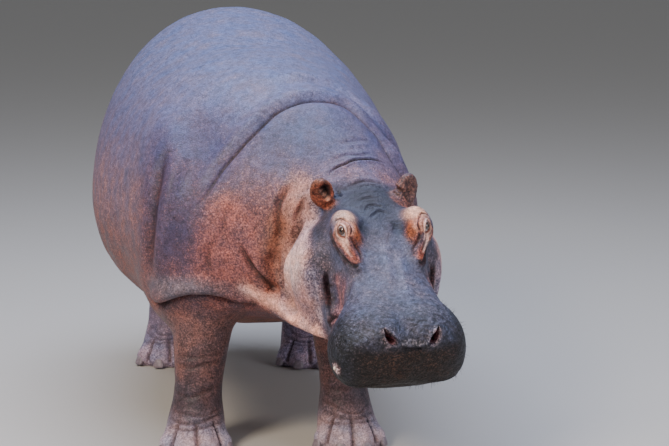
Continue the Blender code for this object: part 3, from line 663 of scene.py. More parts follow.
TOE_TURNS = [math.radians(turn) for turn in (-62, -20, 20, 62)]
TOE_GROOVE = [(0.085, 0.125), (0.110, 0.080), (0.135, 0.045), (0.145, 0.010)]     # outwards and up
# middle of each foot on the floor
FEET = [(-0.279, -0.484), (0.291, -0.484), (-0.269, 0.986), (0.311, 0.886)]
ARC_TURNS = (-1.5, -0.9, -0.3, 0.3, 0.9, 1.5)     # radians from the front of the leg
LEG_HALF_WIDTH, LEG_HALF_DEPTH = 0.13, 0.14
# height, width, depth
WRIST_CREASES = [(0.118, 0.005, 0.0040), (0.146, 0.006, 0.0050), (0.172, 0.005, 0.0035),
                 (0.235, 0.009, 0.0030), (0.330, 0.010, 0.0040), (0.365, 0.009, 0.0030)]
for foot, (foot_x, foot_y) in enumerate(FEET):
    for first, second in zip(TOE_TURNS, TOE_TURNS[1:]):
        turn = (first + second) / 2
        outwards = Vector((math.sin(turn), -math.cos(turn), 0))
        middle = Vector((foot_x, foot_y - 0.020, 0))
        groove = [middle + outwards * reach + Vector((0, 0, rise)) for reach, rise in TOE_GROOVE]
        fold(groove, 0.007, 0.009, roll=0.003, dark=0.6, ends=0.15)
    for crease_height, width, depth in WRIST_CREASES:
        wave = 0.008 * math.sin(7 * foot + 60 * crease_height)     # so that no two run alike
        arc = [Vector((foot_x + LEG_HALF_WIDTH * math.sin(turn), foot_y - LEG_HALF_DEPTH * math.cos(turn),
                       crease_height + wave * math.sin(3 * turn + foot) - 0.010 * math.cos(turn)))
               for turn in ARC_TURNS]
        fold(arc, width, depth, roll=0.5 * depth, dark=0.35, ends=0.35)

skin_places = plain + outward * lift[:, None] + shift
write(skin_mesh, skin_places)

# ---- Hide: colours -----------------------------------------------------------------------------
# The skin is pale flesh under dark pigment. The pigment covers the back and the muzzle and thins
# out to specks on the cheeks, chest and legs. Both colours and the cover are painted on the points.

pigment = np.zeros_like(plain)
flesh = np.zeros_like(plain)
cover = np.zeros(len(plain))


def tint(weight, dark_code, pale_code, share):
    """Paints both colours and the share of the skin that the dark one covers."""
    weight = np.clip(weight, 0, 1)
    pigment[:] += weight[:, None] * (np.array(linear(dark_code)[:3]) - pigment)
    flesh[:] += weight[:, None] * (np.array(linear(pale_code)[:3]) - flesh)
    cover[:] += weight * (share - cover)


def patch(centre, radii, axes=None):
    """Weight of a soft-edged oval on the skin."""
    offset = plain - np.array(centre)
    if axes is not None:
        offset = offset @ axes.T
    return 1 - smooth_step(0.35, 1.40, np.linalg.norm(offset / np.array(radii), axis=1))


def head_patch(forward, left, up, radii):
    """Weight of a soft-edged oval, placed and turned in the head's own frame."""
    return patch(on_head(forward, left, up), radii, head_axes)


def stripe(points, width, ends=0.15):
    """Weight of a soft-edged stripe along a line on the skin."""
    which, gap, side, along, leftward = beside(laid(points, width / 3), 2.2 * width)
    weight = np.zeros(len(plain))
    weight[which] = np.exp(-(gap / width) ** 2) * smooth_step(0, ends, np.minimum(along, 1 - along))
    return weight


def stripe_both(line, width, ends, *colours):
    """Paints a stripe on each side of the head."""
    for side, points in on_both_sides(line):
        tint(stripe(points, width, ends), *colours)


def under(low, high):
    """1 below the low height, falling to 0 at the high one."""
    return 1 - smooth_step(low, high, plain[:, 2])


everywhere = np.ones(len(plain))
tint(everywhere, "555b7a", "8c8290", 0.93)              # back
tint(under(1.12, 1.42), "585572", "8f8596", 0.92)
tint(under(0.86, 1.20), "6a5868", "b08a88", 0.70)       # sides
tint(under(0.60, 0.94), "503434", "965c4c", 0.56)       # lower flanks
tint(under(0.38, 0.52), "4c383a", "9c7264", 0.45)       # belly
tint(smooth_step(0.30, 0.60, -plain[:, 1]) * under(0.90, 1.14), "553f48", "9c6c68", 0.62)
# on each side: middle, radii, dark and pale colours, cover
FOREQUARTER_TINTS = [
    ((0.19, -0.700, 0.790), (0.21, 0.14, 0.19), "5e3d42", "a96c66", 0.50),      # chest
    ((0.30, -0.520, 1.120), (0.20, 0.20, 0.20), "43415e", "74657c", 0.88),      # upper shoulder
    ((0.36, -0.600, 0.900), (0.12, 0.16, 0.24), "484058", "7e606c", 0.84),      # shoulder
    ((0.30, -0.58, 0.630), (0.20, 0.16, 0.040), "5a525a", "8a7880", 0.66),      # elbow roll
]
for side in (-1, 1):
    for (x, y, z), radii, *colours in FOREQUARTER_TINTS:
        tint(patch((side * x, y, z), radii), *colours)
tint(patch((0.06, -0.720, 1.220), (0.28, 0.19, 0.15)), "42455f", "77707f", 0.92)      # neck
tint(patch((0.02, -0.70, 0.62), (0.16, 0.16, 0.09)), "40282a", "8c5246", 0.55)        # brisket
behind_front = smooth_step(-0.30, -0.10, plain[:, 1])
on_leg = under(0.46, 0.60) * (np.abs(plain[:, 0]) > 0.09)
on_leg *= np.maximum(1 - smooth_step(-0.40, -0.28, plain[:, 1]), smooth_step(0.50, 0.64, plain[:, 1]))
tint(on_leg, "4c3838", "86625e", 0.52)
tint(on_leg * under(0.16, 0.40), "382e32", "5c4a50", 0.58)
tint(on_leg * under(0.03, 0.18), "7a6e7a", "b3a4ae", 0.28)
tint(on_leg * behind_front, "6c6074", "a08ea2", 0.72)
tint(on_leg * behind_front * under(0.05, 0.20), "766c7e", "b0a2b6", 0.50)

forward_on_head, left_on_head, up_on_head = on_face.T
behind_jaw = forward_on_head - (-0.080 - 0.30 * up_on_head)
on_skull = smooth_step(0.0, 0.07, behind_jaw) * smooth_step(-0.54, -0.49, up_on_head)
coarse = on_skull * (0.35 + 0.65 * smooth_step(0.42, 0.60, forward_on_head))
tint(on_skull, "494b5e", "7c7480", 0.92)                                              # head
tint(on_skull * head_patch(0.04, 0.0, 0.0, (0.21, 0.16, 0.09)), "20222f", "403e49", 0.92)
tint(smooth_step(0.46, 0.62, forward_on_head), "363948", "5a5a68", 0.88)              # muzzle
below_nose = smooth_step(-0.085, -0.140, up_on_head) * smooth_step(0.58, 0.66, forward_on_head)
tint(below_nose, "150f0f", "4c382f", 0.72)                                            # upper lip
lip_edge = smooth_step(-0.235, -0.290, up_on_head) * smooth_step(0.42, 0.56, forward_on_head)
tint(lip_edge, "0b090a", "3a2c26", 0.76)
# painted highlight: the snout's ridges painted paler along their crests
for points in SNOUT_RIDGES:
    tint(0.8 * stripe(head_line(points), 0.016, 0.3), "5c5f74", "8c8494", 0.90)
muzzle_side = smooth_step(0.14, 0.21, np.abs(left_on_head)) * smooth_step(0.48, 0.58, forward_on_head)
tint(muzzle_side * 0.9, "14171d", "343a48", 0.72)
# on each side of the head: forward, left, up, radii, dark and pale colours, cover
CHEEK_TINTS = [
    (0.040, 0.280, -0.200, (0.15, 0.09, 0.22), "54342c", "a06a52", 0.42),           # rear of the cheek
    (0.150, 0.255, -0.255, (0.145, 0.095, 0.175), "4f3a40", "b88f88", 0.30),        # cheek
    (0.215, 0.215, -0.270, (0.080, 0.060, 0.130), "54424c", "b38e90", 0.28),
    (0.125, 0.285, -0.200, (0.100, 0.060, 0.125), "54424a", "e2c3bd", 0.13),        # its palest part
    (0.060, 0.215, -0.110, (0.10, 0.055, 0.06), "5a4650", "cba7a4", 0.20),
    (0.130, 0.195, -0.075, (0.075, 0.05, 0.035), "2c2d3a", "665c68", 0.9),          # behind the eye
    (0.240, 0.190, -0.150, (0.045, 0.05, 0.08), "3a3743", "7a6c78", 0.70),          # below the eye
    (-0.060, 0.215, -0.100, (0.095, 0.07, 0.13), "5a4040", "ad8278", 0.36),         # below the ear
]
for side in (-1, 1):
    for forward, left, up, radii, *colours in CHEEK_TINTS:
        tint(head_patch(forward, side * left, up, radii), *colours)
stripe_both(UPRIGHT_FOLD_REAR, 0.020, 0.15, "5c5468", "a598a6", 0.45)
INNER_FOLD = [(forward - 0.040, left + 0.018, up - 0.015) for forward, left, up in PINK_FOLD_FRONT]
for side in (1, -1):
    inner = head_line([(forward, side * left, up) for forward, left, up in INNER_FOLD])
    tint(stripe(inner, 0.030, 0.35), "54363c", "b07c7c", 0.50)
PINK_FOLD_MIDDLE = [(0.298, 0.166, -0.120), (0.345, 0.165, -0.160), (0.385, 0.170, -0.200),
                    (0.408, 0.176, -0.245), (0.418, 0.180, -0.300)]
stripe_both(PINK_FOLD_MIDDLE, 0.032, 0.12, "4a2c34", "b07e80", 0.46)
# painted shade: the upright groove darkened along its bottom
stripe_both(UPRIGHT_GROOVE, 0.013, 0.15, "241418", "5a3236", 0.72)

# round the eye, in the same order as on the cheek
BROW_TINTS = [
    (0.190, 0.119, 0.028, (0.075, 0.046, 0.050), "a67a66", "cfa48a", 0.30),         # pale brow bulge: pink skin, painted paler as a highlight
    (0.262, 0.094, 0.008, (0.054, 0.032, 0.046), "4a2216", "9c5634", 0.38),         # its front
    (0.215, 0.052, -0.006, (0.046, 0.020, 0.050), "1c2030", "3c3c4a", 0.90),        # painted shade in the hollow between the bulges
]
for side, fuller in ((-1, 0.0), (1, 0.010)):
    for forward, left, up, radii, *colours in BROW_TINTS:
        tint(head_patch(forward, side * (left + fuller), up, radii), *colours)
TEAR_FOLD_MIDDLE = [(0.240, 0.162, 0.004), (0.262, 0.156, 0.002), (0.284, 0.145, -0.008),
                    (0.304, 0.130, -0.022), (0.333, 0.116, -0.036), (0.362, 0.102, -0.044)]
for side, points in on_both_sides(TEAR_FOLD_MIDDLE):
    tint(stripe(points, 0.021, 0.05), "4a2018", "a4624c", 0.38)
    tint(stripe(points[3:], 0.014, 0.4), "4a2018", "843f30", 0.45)
TEAR_FOLD_GLEAM = [(0.284, 0.150, 0.002), (0.302, 0.142, -0.010), (0.322, 0.128, -0.024),
                   (0.344, 0.115, -0.036)]
for side, points in on_both_sides(TEAR_FOLD_GLEAM):
    tint(0.9 * stripe(points, 0.0045, 0.3), "9a6a5c", "dcb2a2", 0.15)
for name in EYES:
    from_eye = np.linalg.norm(plain - np.array(eye_centre[name]), axis=1)
    tint(0.8 * (1 - smooth_step(0.034, 0.042, from_eye)), "6a3a2e", "b98066", 0.20)
    tint(1 - smooth_step(0.0290, 0.0335, from_eye), "70443c", "b98674", 0.28)
tint(lid_rim, "8a6660", "dfc0b6", 0.10)
# painted shade: dark lines along the creases of the tear fold and above the upper lid
stripe_both(TEAR_FOLD_OUTER, 0.0075, 0.05, "200a0a", "42181a", 0.70)
stripe_both(UPPER_LID_CREASE, 0.0035, 0.10, "2a0e0c", "5a2822", 0.60)
stripe_both(TEAR_FOLD_INNER, 0.0060, 0.08, "30100e", "642c22", 0.50)

for name in ("right", "left"):
    from_ear = plain - np.array(ear_middle[name])
    ear_distance = np.linalg.norm(from_ear, axis=1)
    near_ear = 1 - smooth_step(0.058, 0.080, ear_distance)
    tint(near_ear, "4c3028", "8e5e4a", 0.46)
    inner_ear = near_ear * smooth_step(0.004, 0.016, from_ear @ np.array(head_forward))
    tint(inner_ear, "4a241c", "8c4c36", 0.45)
about_left_ear = 1 - smooth_step(0.050, 0.085, ear_distance)     # it is the duller of the two
tint(about_left_ear * 0.7, "3c3038", "7c5a52", 0.60)
# painted shade: the hollow of the ear cup darkened
tint(ear_cup_shade, "160808", "381814", 0.60)
tint(head_patch(*TUSK_SWELLING, (0.018, 0.018, 0.022)), "6a4a48", "ccada6", 0.28)
for side, points in on_both_sides(TRAGUS):
    for point in points:
        tint(patch(point, (0.0075, 0.0075, 0.0075)), "7a4c40", "b58672", 0.20)
for points in NOSTRIL_SLITS:
    tint(stripe(head_line(points), 0.016, 0.02), "3c3a44", "857880", 0.62)
tint(1 - smooth_step(-0.0050, 0.0000, nostril_edge), "3a1a1e", "86484e", 0.30)
# painted highlight: a pale band across the nose between the nostrils
tint(head_patch(0.722, 0.016, -0.098, (0.03, 0.055, 0.013)), "45454f", "807c84", 0.60)
# pale pink skin of the throat roll, painted paler still as a highlight along the roll
tint(stripe(THROAT_ROLL, 0.032), "7a4a44", "eab8aa", 0.10)
# painted shade: the creases of the body darkened
tint(np.clip(crease_shade * (1 - on_skull), 0, 1), "2a1a18", "5c3a34", 0.6)

# ---- Hide: fewer triangles ---------------------------------------------------------------------
# The broad smooth flanks give up most of their triangles, and the folds keep theirs.

HIDE_TRIANGLES = 188_000
for name, field in (("pigment", pigment), ("flesh", flesh)):
    colour = np.ones((len(plain), 4), np.float32)
    colour[:, :3] = field
    skin_mesh.attributes.new(name, "FLOAT_COLOR", "POINT").data.foreach_set("color", colour.ravel())
for name, field in (("cover", cover), ("crease_shade", crease_shade), ("coarse", coarse)):
    layer = skin_mesh.attributes.new(name, "FLOAT", "POINT")
    layer.data.foreach_set("value", np.clip(field, 0, 1).astype(np.float32))
spare = skin.modifiers.new("thin", "DECIMATE")
spare.use_collapse_triangulate = True
spare.ratio = HIDE_TRIANGLES / (2 * len(skin_mesh.polygons))
applied(skin)
skin_mesh = skin.data
skin_mesh.shade_smooth()

# ---- Hide: the leather -------------------------------------------------------------------------
# Bare, thick, faintly moist skin. Specks of pigment over flesh give it its grain, and pores,
# pebbles and fine cracks break up the sheen.

def add_node(tree, kind, inputs=None, **settings):
    """Adds a node with its settings and inputs."""
    node = tree.nodes.new(kind)
    for name, value in settings.items():
        setattr(node, name, value)
    feed(tree, node, inputs or {})
    return node


leather, tree, shader = new_material("hippopotamus_leather")
place = add_node(tree, "ShaderNodeTexCoord").outputs["Object"]
painted = {
    name: add_node(tree, "ShaderNodeAttribute", attribute_name=name).outputs[output]
    for name, output in (("pigment", "Color"), ("flesh", "Color"), ("cover", "Fac"), ("crease_shade", "Fac"),
                         ("coarse", "Fac"))
}
# metres across, detail, roughness, distortion
NOISES = {
    "specks": (0.0065, 3.0, 0.60, 0.0),
    "blotches": (0.075, 4.0, 0.60, 0.0),
    "grain": (0.0046, 2.0, 0.50, 0.0),
    "mottles": (0.021, 3.5, 0.65, 0.8),
    "lumps": (0.013, 3.0, 0.50, 0.0),
    "wrinkles": (0.030, 7.0, 0.62, 0.6),
}
noise = {
    name: add_node(tree, "ShaderNodeTexNoise", {
        "Vector": place, "Scale": 1 / across, "Detail": detail, "Roughness": roughness,
        "Distortion": distortion}).outputs["Fac"]
    for name, (across, detail, roughness, distortion) in NOISES.items()
}
BLOTCH_SHARE = 0.24     # of the blotches in the pattern, against the specks
pattern = add_node(tree, "ShaderNodeMix", {0: BLOTCH_SHARE, 2: noise["specks"], 3: noise["blotches"]},
                   data_type="FLOAT")
threshold = add_node(tree, "ShaderNodeMapRange", {"Value": painted["cover"], "To Min": 0.30, "To Max": 0.70})
excess = add_node(tree, "ShaderNodeMath", {0: threshold.outputs["Result"], 1: pattern.outputs[0]},
                  operation="SUBTRACT")
# what is read, the two values it is read between, and what they become
SPREADS = {
    "pigmented": (excess.outputs[0], -0.085, 0.085, 0.08, 0.96),
    "grain": (noise["grain"], 0.32, 0.68, 0.68, 1.32),
    "dapple": (noise["mottles"], 0.30, 0.70, 0.62, 1.38),
    "fleck": (noise["lumps"], 0.36, 0.66, 0.50, 1.75),
    "warmth": (noise["blotches"], 0.32, 0.68, 0.0, 1.0),
    "shade_breakup": (noise["specks"], 0.35, 0.60, 0.55, 1.0),
    "dryness": (noise["blotches"], 0.30, 0.70, 0.42, 0.60),
}
spread = {
    name: add_node(tree, "ShaderNodeMapRange", {
        "Value": value, "From Min": low, "From Max": high, "To Min": least, "To Max": most,
    }).outputs["Result"]
    for name, (value, low, high, least, most) in SPREADS.items()
}
flecked = add_node(tree, "ShaderNodeMix", {0: painted["coarse"], 2: 1.0, 3: spread["fleck"]},
                   data_type="FLOAT").outputs[0]
skin_colours = {0: spread["pigmented"], 6: painted["flesh"], 7: painted["pigment"]}
grained = add_node(tree, "ShaderNodeMix", skin_colours, data_type="RGBA").outputs[2]
for brightness in (spread["grain"], spread["dapple"], flecked):
    grained = add_node(tree, "ShaderNodeVectorMath", {0: grained, "Scale": brightness},
                       operation="SCALE").outputs[0]
COOL_TONE, WARM_TONE = (0.90, 0.98, 1.10, 1), (1.24, 1.00, 0.88, 1)
tone = add_node(tree, "ShaderNodeMix", {0: spread["warmth"], 6: COOL_TONE, 7: WARM_TONE}, data_type="RGBA")
toned = add_node(tree, "ShaderNodeVectorMath", {0: grained, 1: tone.outputs[2]},
                 operation="MULTIPLY").outputs[0]
CREASE_LIGHT = 0.22     # share of the skin's own colour left under the painted shade at the bottom of a crease
# painted shade: the colour is darkened towards CREASE_LIGHT where the creases are, broken up by the specks
fully_shaded = add_node(tree, "ShaderNodeVectorMath", {0: toned, "Scale": CREASE_LIGHT}, operation="SCALE")
shade_share = add_node(tree, "ShaderNodeMath", {0: painted["crease_shade"], 1: spread["shade_breakup"]}, operation="MULTIPLY")
with_crease_shade = add_node(tree, "ShaderNodeMix", {0: shade_share.outputs[0], 6: toned, 7: fully_shaded.outputs[0]},
                  data_type="RGBA")
PEBBLE = 0.0052     # metres across
pebbles = add_node(tree, "ShaderNodeTexVoronoi", {"Vector": place, "Scale": 1 / PEBBLE}).outputs["Distance"]
lumpy = add_node(tree, "ShaderNodeMath", {0: noise["lumps"], 1: painted["coarse"]}, operation="MULTIPLY")
# what raises the skin, by how many metres, and whether it sinks it instead
RELIEFS = [
    (noise["wrinkles"], 0.0050, False),
    (lumpy.outputs[0], 0.0070, False),
    (pebbles, 0.0010, True),
    (noise["specks"], 0.0012, False),
]
relief = {}
for rise, distance, inwards in RELIEFS:
    stood_up = {"Height": rise, "Distance": distance, "Strength": 1.0, **relief}
    bump = add_node(tree, "ShaderNodeBump", stood_up, invert=inwards)
    relief = {"Normal": bump.outputs[0]}
feed(tree, shader, {
    "Base Color": with_crease_shade.outputs[2], "Roughness": spread["dryness"], "Specular IOR Level": 0.30,
    "Coat Weight": 0.04, "Coat Roughness": 0.30, **relief})

skin_mesh.materials.clear()
skin_mesh.materials.append(leather)
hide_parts(*FLESH)
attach(skin, root)

# ---- Eyeballs ----------------------------------------------------------------------------------
# Wet balls of the eye behind the lids, with a bulging clear front, a dark brown iris and a
# wide level pupil. Each is one closed ball set in the orbit.

CORNEA_HALF_ANGLE = math.radians(36)
CORNEA_RISE = 0.0014
LID_CLEARANCE = 0.0008
# on the unit ball, from the middle of the look: where the brown darkens, where it gives way to
# white, and the pupil's edge once it is flattened
IRIS_RIM, IRIS_END, PUPIL_EDGE = (0.30, 0.54), (0.50, 0.60), (0.25, 0.21)
PUPIL_FLATTENING = (1.0, 1.7, 1.0)
wet_eye, tree, shader = new_material("wet_brown_eye")
on_iris = add_node(tree, "ShaderNodeAttribute", attribute_name="iris_place").outputs["Vector"]
flattened = add_node(tree, "ShaderNodeVectorMath", {0: on_iris, 1: PUPIL_FLATTENING}, operation="MULTIPLY")
from_middle, from_pupil = (
    add_node(tree, "ShaderNodeVectorMath", {0: offset}, operation="LENGTH").outputs["Value"]
    for offset in (on_iris, flattened.outputs[0])
)
eye_colour = linear("4a2e20")
for distance, (start, end), colour in ((from_middle, IRIS_RIM, "1c100c"), (from_middle, IRIS_END, "b8a6a4"),
                                       (from_pupil, PUPIL_EDGE, "050404")):
    share = add_node(tree, "ShaderNodeMapRange", {"Value": distance, "From Min": start, "From Max": end})
    colours = {0: share.outputs["Result"], 6: eye_colour, 7: linear(colour)}
    eye_colour = add_node(tree, "ShaderNodeMix", colours, data_type="RGBA").outputs[2]
feed(tree, shader, {"Base Color": eye_colour, "Roughness": 0.10, "Coat Weight": 1.0, "Coat Roughness": 0.03})
for name in EYES:
    shape = bmesh.new()
    bmesh.ops.create_uvsphere(shape, u_segments=56, v_segments=36, radius=1.0)
    bmesh.ops.triangulate(shape, faces=shape.faces)
    ball_mesh = bpy.data.meshes.new(f"{name}_ball")
    shape.to_mesh(ball_mesh)
    shape.free()
    unit = read(ball_mesh.vertices)[:, [2, 0, 1]]     # look, towards the front corner, towards the brow
    off_look = np.arccos(np.clip(unit[:, 0], -1, 1))
    rise = CORNEA_RISE * (1 - smooth_step(0.35, 1.0, off_look / CORNEA_HALF_ANGLE))
    unit_places = unit @ eye_axes[name]
    ball_radius = (EYEBALL_RADIUS - LID_CLEARANCE + rise)[:, None]
    write(ball_mesh, np.array(eye_centre[name]) + unit_places * ball_radius)
    level = np.array(head_forward - head_up * 0.2)
    level -= eye_axes[name][0] * (level @ eye_axes[name][0])
    level /= np.linalg.norm(level)
    upright = np.cross(eye_axes[name][0], level)
    on_front = np.stack([unit_places @ level, unit_places @ upright, unit[:, 0] < 0], axis=1)
    layer = ball_mesh.attributes.new("iris_place", "FLOAT_VECTOR", "POINT")
    layer.data.foreach_set("vector", on_front.astype(np.float32).ravel())
    ball_mesh.materials.append(wet_eye)
    eyeball = placed(f"{name}_ball", ball_mesh)
    shape = bmesh.new()
    shape.from_mesh(ball_mesh)
    bmesh.ops.recalc_face_normals(shape, faces=shape.faces)
    shape.to_mesh(ball_mesh)
    shape.free()
    ball_mesh.shade_smooth()
    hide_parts(name)
    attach(eyeball, root)

# ---- Toenails ----------------------------------------------------------------------------------
# Four blunt hoof-like nails of dull horn on each foot, set into the skin at the toes' tips and
# worn flat along the ground.

NAIL_HALF_WIDTH, NAIL_HALF_HEIGHT, NAIL_HALF_DEPTH = 0.021, 0.022, 0.010
NAIL_HEIGHT = 0.0235     # of its middle
NAIL_SINK, NAIL_SLOPE, NAIL_TAPER = 0.003, 0.30, 0.22
NAIL_SQUARENESS, WORN_FLAT = 0.8, -0.75
TOE_REACH_ACROSS, TOE_REACH_AHEAD = 0.105, 0.118
HORN_STREAK = 1 / 120     # metres across, about 8 mm
horn, tree, shader = new_material("dull_horn")
place = add_node(tree, "ShaderNodeTexCoord").outputs["Object"]
streaks = add_node(tree, "ShaderNodeTexNoise", {
    "Vector": place, "Scale": 1 / HORN_STREAK, "Detail": 4.0}).outputs["Fac"]
horn_colour = add_node(tree, "ShaderNodeMix", {0: streaks, 6: linear("4f434a"), 7: linear("a3929a")},
                       data_type="RGBA")
scuffs = add_node(tree, "ShaderNodeBump", {"Height": streaks, "Distance": 0.001, "Strength": 1.0})
feed(tree, shader, {"Base Color": horn_colour.outputs[2], "Normal": scuffs.outputs[0], "Roughness": 0.45})
nails = bmesh.new()
for foot_x, foot_y in FEET:
    for turn in TOE_TURNS:
        outwards = Vector((math.sin(turn), -math.cos(turn), 0))
        toe = Vector((foot_x, foot_y - 0.030, 0.030))
        toe += Vector((TOE_REACH_ACROSS * outwards.x, TOE_REACH_AHEAD * outwards.y, 0))
        front = skin.closest_point_on_mesh(toe + outwards * 0.09)[1]
        middle = Vector((front.x, front.y, NAIL_HEIGHT))
        across = Vector((0, 0, 1)).cross(outwards)
        nail = bmesh.ops.create_uvsphere(nails, u_segments=24, v_segments=14, radius=1.0)["verts"]
        for vertex in nail:
            flat = [math.copysign(abs(value) ** NAIL_SQUARENESS, value) for value in vertex.co]
            upward = max(flat[2], WORN_FLAT) * NAIL_HALF_HEIGHT
            forward = flat[1] * NAIL_HALF_DEPTH - NAIL_SINK - NAIL_SLOPE * upward
            sideways = across * flat[0] * NAIL_HALF_WIDTH * (1 - NAIL_TAPER * flat[2])
            vertex.co = middle + sideways + outwards * forward + Vector((0, 0, upward))
nail_mesh = bpy.data.meshes.new("toenails")
nails.to_mesh(nail_mesh)
nails.free()
nail_mesh.materials.append(horn)
nail_mesh.shade_smooth()
toenails = placed("toenails", nail_mesh)
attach(toenails, root)

# ---- Tusk tip ----------------------------------------------------------------------------------
# The worn tip of the lower right tusk, which shows at the corner of the muzzle. It is dull ivory
# and comes out through the lip's swelling.

TUSK_RADIUS, TUSK_HALF_LENGTH, TUSK_SINK = 0.0065, 0.012, 0.006
ivory, tree, shader = new_material("worn_ivory")
feed(tree, shader, {"Base Color": linear("d9c8b4"), "Roughness": 0.35})     # yellowed, as a stained tooth
tusk_place, tusk_normal = skin.closest_point_on_mesh(on_head(0.690, -0.240, -0.214))[1:3]
tusk_axis = (tusk_normal * 0.8 - head_up * 0.2 + head_forward * 0.5).normalized()
tusk_turn = tusk_axis.to_track_quat("Z", "Y").to_matrix()
tusk_size = (TUSK_RADIUS, TUSK_RADIUS, TUSK_HALF_LENGTH)
shape = bmesh.new()
for vertex in bmesh.ops.create_uvsphere(shape, u_segments=24, v_segments=16, radius=1.0)["verts"]:
    stretched = Vector([part * size for part, size in zip(vertex.co, tusk_size)])
    vertex.co = tusk_place + tusk_turn @ stretched - tusk_axis * TUSK_SINK
tusk_mesh = bpy.data.meshes.new("tusk_tip")
shape.to_mesh(tusk_mesh)
shape.free()
tusk_mesh.materials.append(ivory)
tusk_mesh.shade_smooth()
tusk = placed("tusk_tip", tusk_mesh)
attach(tusk, root)

# ---- Bristles ----------------------------------------------------------------------------------
# Sparse stiff hairs, thick on the lips and muzzle, fine around the ears and longest at the tail's
# tip. Each grows from a pore of its own and leans away from the nose or down the tail.

chance = np.random.default_rng(11)
MUZZLE_LEAN = head_forward * -0.4 - head_up * 0.5
EAR_LEAN, TAIL_LEAN = head_up * 0.3 - head_forward * 0.2, Vector((0, 0.2, -1.6))
# where they spread from, how many, least and most length, lean, farthest root, start and span of the map
BRISTLE_BEDS = [
    (on_head(0.590, 0.012, -0.180), 520, 0.010, 0.026, MUZZLE_LEAN, 0.40, (0.02, 0.02), 0.56),
    (ear_middle["right"], 110, 0.005, 0.011, EAR_LEAN, 0.065, (0.62, 0.02), 0.30),
    (ear_middle["left"], 110, 0.005, 0.011, EAR_LEAN, 0.065, (0.62, 0.36), 0.30),
    (Vector((TAIL_X, 1.458, 0.690)), 120, 0.024, 0.045, TAIL_LEAN, 0.060, (0.02, 0.66), 0.30),
]
MUZZLE_START, MUZZLE_TOP = 0.50, -0.075     # forward and up on the head
PORE_DEPTH = 0.002
STRAY = 0.18     # how far each hair strays from its neighbours' lean
pores, growths, lengths, pore_maps = [], [], [], []
for middle, count, shortest, longest, lean, farthest, map_start, map_span in BRISTLE_BEDS:
    for outwards in chance.normal(size=(count, 3)):
        outwards = Vector(outwards).normalized()
        hit, pore, normal = skin.ray_cast(middle, outwards)[:3]
        if not hit or (pore - middle).length > farthest:
            continue
        forward, left, up = in_head(np.array([pore]))[0]
        if lean == MUZZLE_LEAN and (forward < MUZZLE_START or up > MUZZLE_TOP):
            continue
        growth = (normal.normalized() + lean + Vector(chance.normal(scale=STRAY, size=3))).normalized()
        pores.append(pore - growth * PORE_DEPTH)
        growths.append(growth)
        lengths.append(chance.uniform(shortest, longest))
        around = math.atan2(outwards @ head_left, outwards @ head_up) / math.tau + 0.5
        ahead = math.acos(max(-1, min(1, outwards @ head_forward))) / math.pi
        pore_maps.append((map_start[0] + map_span * around, map_start[1] + map_span * ahead, 0))

bristle_tree = bpy.data.node_groups.new("bristles_from_pores", "GeometryNodeTree")
sockets = bristle_tree.interface
sockets.new_socket("Geometry", in_out="INPUT", socket_type="NodeSocketGeometry")
bristle_input = {
    name: sockets.new_socket(name, in_out="INPUT", socket_type=f"NodeSocket{kind}").identifier
    for name, kind in (("Root Radius", "Float"), ("Tip Radius", "Float"), ("Bend", "Float"), ("Seed", "Int"),
                       ("Material", "Material"))
}
sockets.new_socket("Geometry", in_out="OUTPUT", socket_type="NodeSocketGeometry")
given = add_node(bristle_tree, "NodeGroupInput").outputs
roots = add_node(bristle_tree, "GeometryNodeMeshToPoints", {"Mesh": given["Geometry"]})
cone = add_node(bristle_tree, "GeometryNodeMeshCone", {
    "Vertices": 5, "Side Segments": 4, "Depth": 1.0,
    "Radius Top": given["Tip Radius"], "Radius Bottom": given["Root Radius"]})
along = add_node(bristle_tree, "GeometryNodeInputPosition")
rise = add_node(bristle_tree, "ShaderNodeSeparateXYZ", {"Vector": along.outputs[0]}).outputs["Z"]
squared = add_node(bristle_tree, "ShaderNodeMath", {0: rise, 1: rise}, operation="MULTIPLY")
sideways = add_node(bristle_tree, "ShaderNodeMath", {0: squared.outputs[0], 1: given["Bend"]},
                    operation="MULTIPLY")
curve_off = add_node(bristle_tree, "ShaderNodeCombineXYZ", {"X": sideways.outputs[0]})
bent = add_node(bristle_tree, "GeometryNodeSetPosition", {
    "Geometry": cone.outputs["Mesh"], "Offset": curve_off.outputs[0]})
growth_read, length_read = (
    add_node(bristle_tree, "GeometryNodeInputNamedAttribute", {"Name": name}, data_type=kind)
    for name, kind in (("growth", "FLOAT_VECTOR"), ("length", "FLOAT"))
)
facing = add_node(bristle_tree, "FunctionNodeAlignRotationToVector", {
    "Vector": growth_read.outputs["Attribute"]}, axis="Z")
stoutness = add_node(bristle_tree, "FunctionNodeRandomValue", {
    "Min": 0.75, "Max": 1.25, "Seed": given["Seed"]}, data_type="FLOAT").outputs["Value"]
stretch = add_node(bristle_tree, "ShaderNodeCombineXYZ", {
    "X": stoutness, "Y": stoutness, "Z": length_read.outputs["Attribute"]})
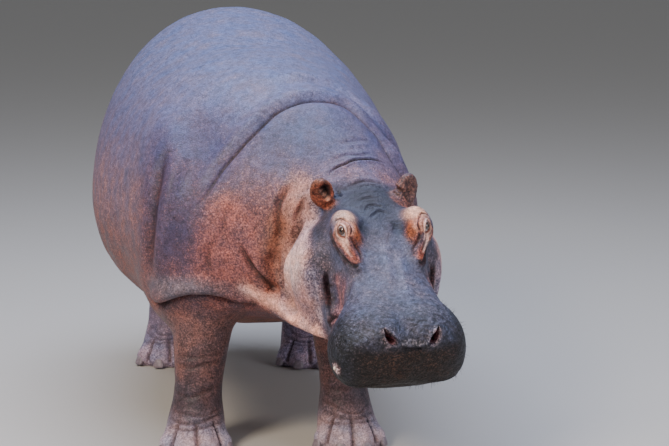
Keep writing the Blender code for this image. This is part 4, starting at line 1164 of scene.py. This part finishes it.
planted = add_node(bristle_tree, "GeometryNodeInstanceOnPoints", {
    "Points": roots.outputs[0], "Instance": bent.outputs[0], "Rotation": facing.outputs[0],
    "Scale": stretch.outputs[0]})
real = add_node(bristle_tree, "GeometryNodeRealizeInstances", {"Geometry": planted.outputs[0]})
coloured = add_node(bristle_tree, "GeometryNodeSetMaterial", {
    "Geometry": real.outputs[0], "Material": given["Material"]})
add_node(bristle_tree, "NodeGroupOutput", {"Geometry": coloured.outputs[0]})

stiff_hair, tree, shader = new_material("stiff_dark_hair")
feed(tree, shader, {"Base Color": linear("30221e"), "Roughness": 0.45})     # brownish black
pore_mesh = bpy.data.meshes.new("bristles")
pore_mesh.from_pydata([tuple(pore) for pore in pores], [], [])
for name, kind, field, values in (("growth", "FLOAT_VECTOR", "vector", growths),
                                  ("length", "FLOAT", "value", lengths),
                                  ("pore_map", "FLOAT_VECTOR", "vector", pore_maps)):
    layer = pore_mesh.attributes.new(name, kind, "POINT")
    layer.data.foreach_set(field, np.array(values, np.float32).ravel())
bristles = placed("bristles", pore_mesh)
growing = bristles.modifiers.new("growing", "NODES")
growing.node_group = bristle_tree
for name, value in (("Root Radius", 0.00055), ("Tip Radius", 0.00012), ("Bend", 0.0035), ("Seed", 4),
                    ("Material", stiff_hair)):
    growing[bristle_input[name]] = value
bristle_mesh = applied(bristles)
MAP_RING = 0.0015     # radius of the ring that one bristle's points take on the map
map_places = read(bristle_mesh.attributes["pore_map"].data, "vector")[:, :2]
per_bristle = len(bristle_mesh.vertices) // len(pores)
turn = np.arange(len(map_places)) % per_bristle * (math.tau / per_bristle)
map_places = map_places + MAP_RING * np.stack([np.cos(turn), np.sin(turn)], axis=1)
corner_vertex = np.empty(len(bristle_mesh.loops), np.int32)
bristle_mesh.loops.foreach_get("vertex_index", corner_vertex)
while bristle_mesh.uv_layers:
    bristle_mesh.uv_layers.remove(bristle_mesh.uv_layers[0])
bake_map = bristle_mesh.uv_layers.new(name="OFBake")
bake_map.data.foreach_set("uv", map_places[corner_vertex].astype(np.float32).ravel())
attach(bristles, root)
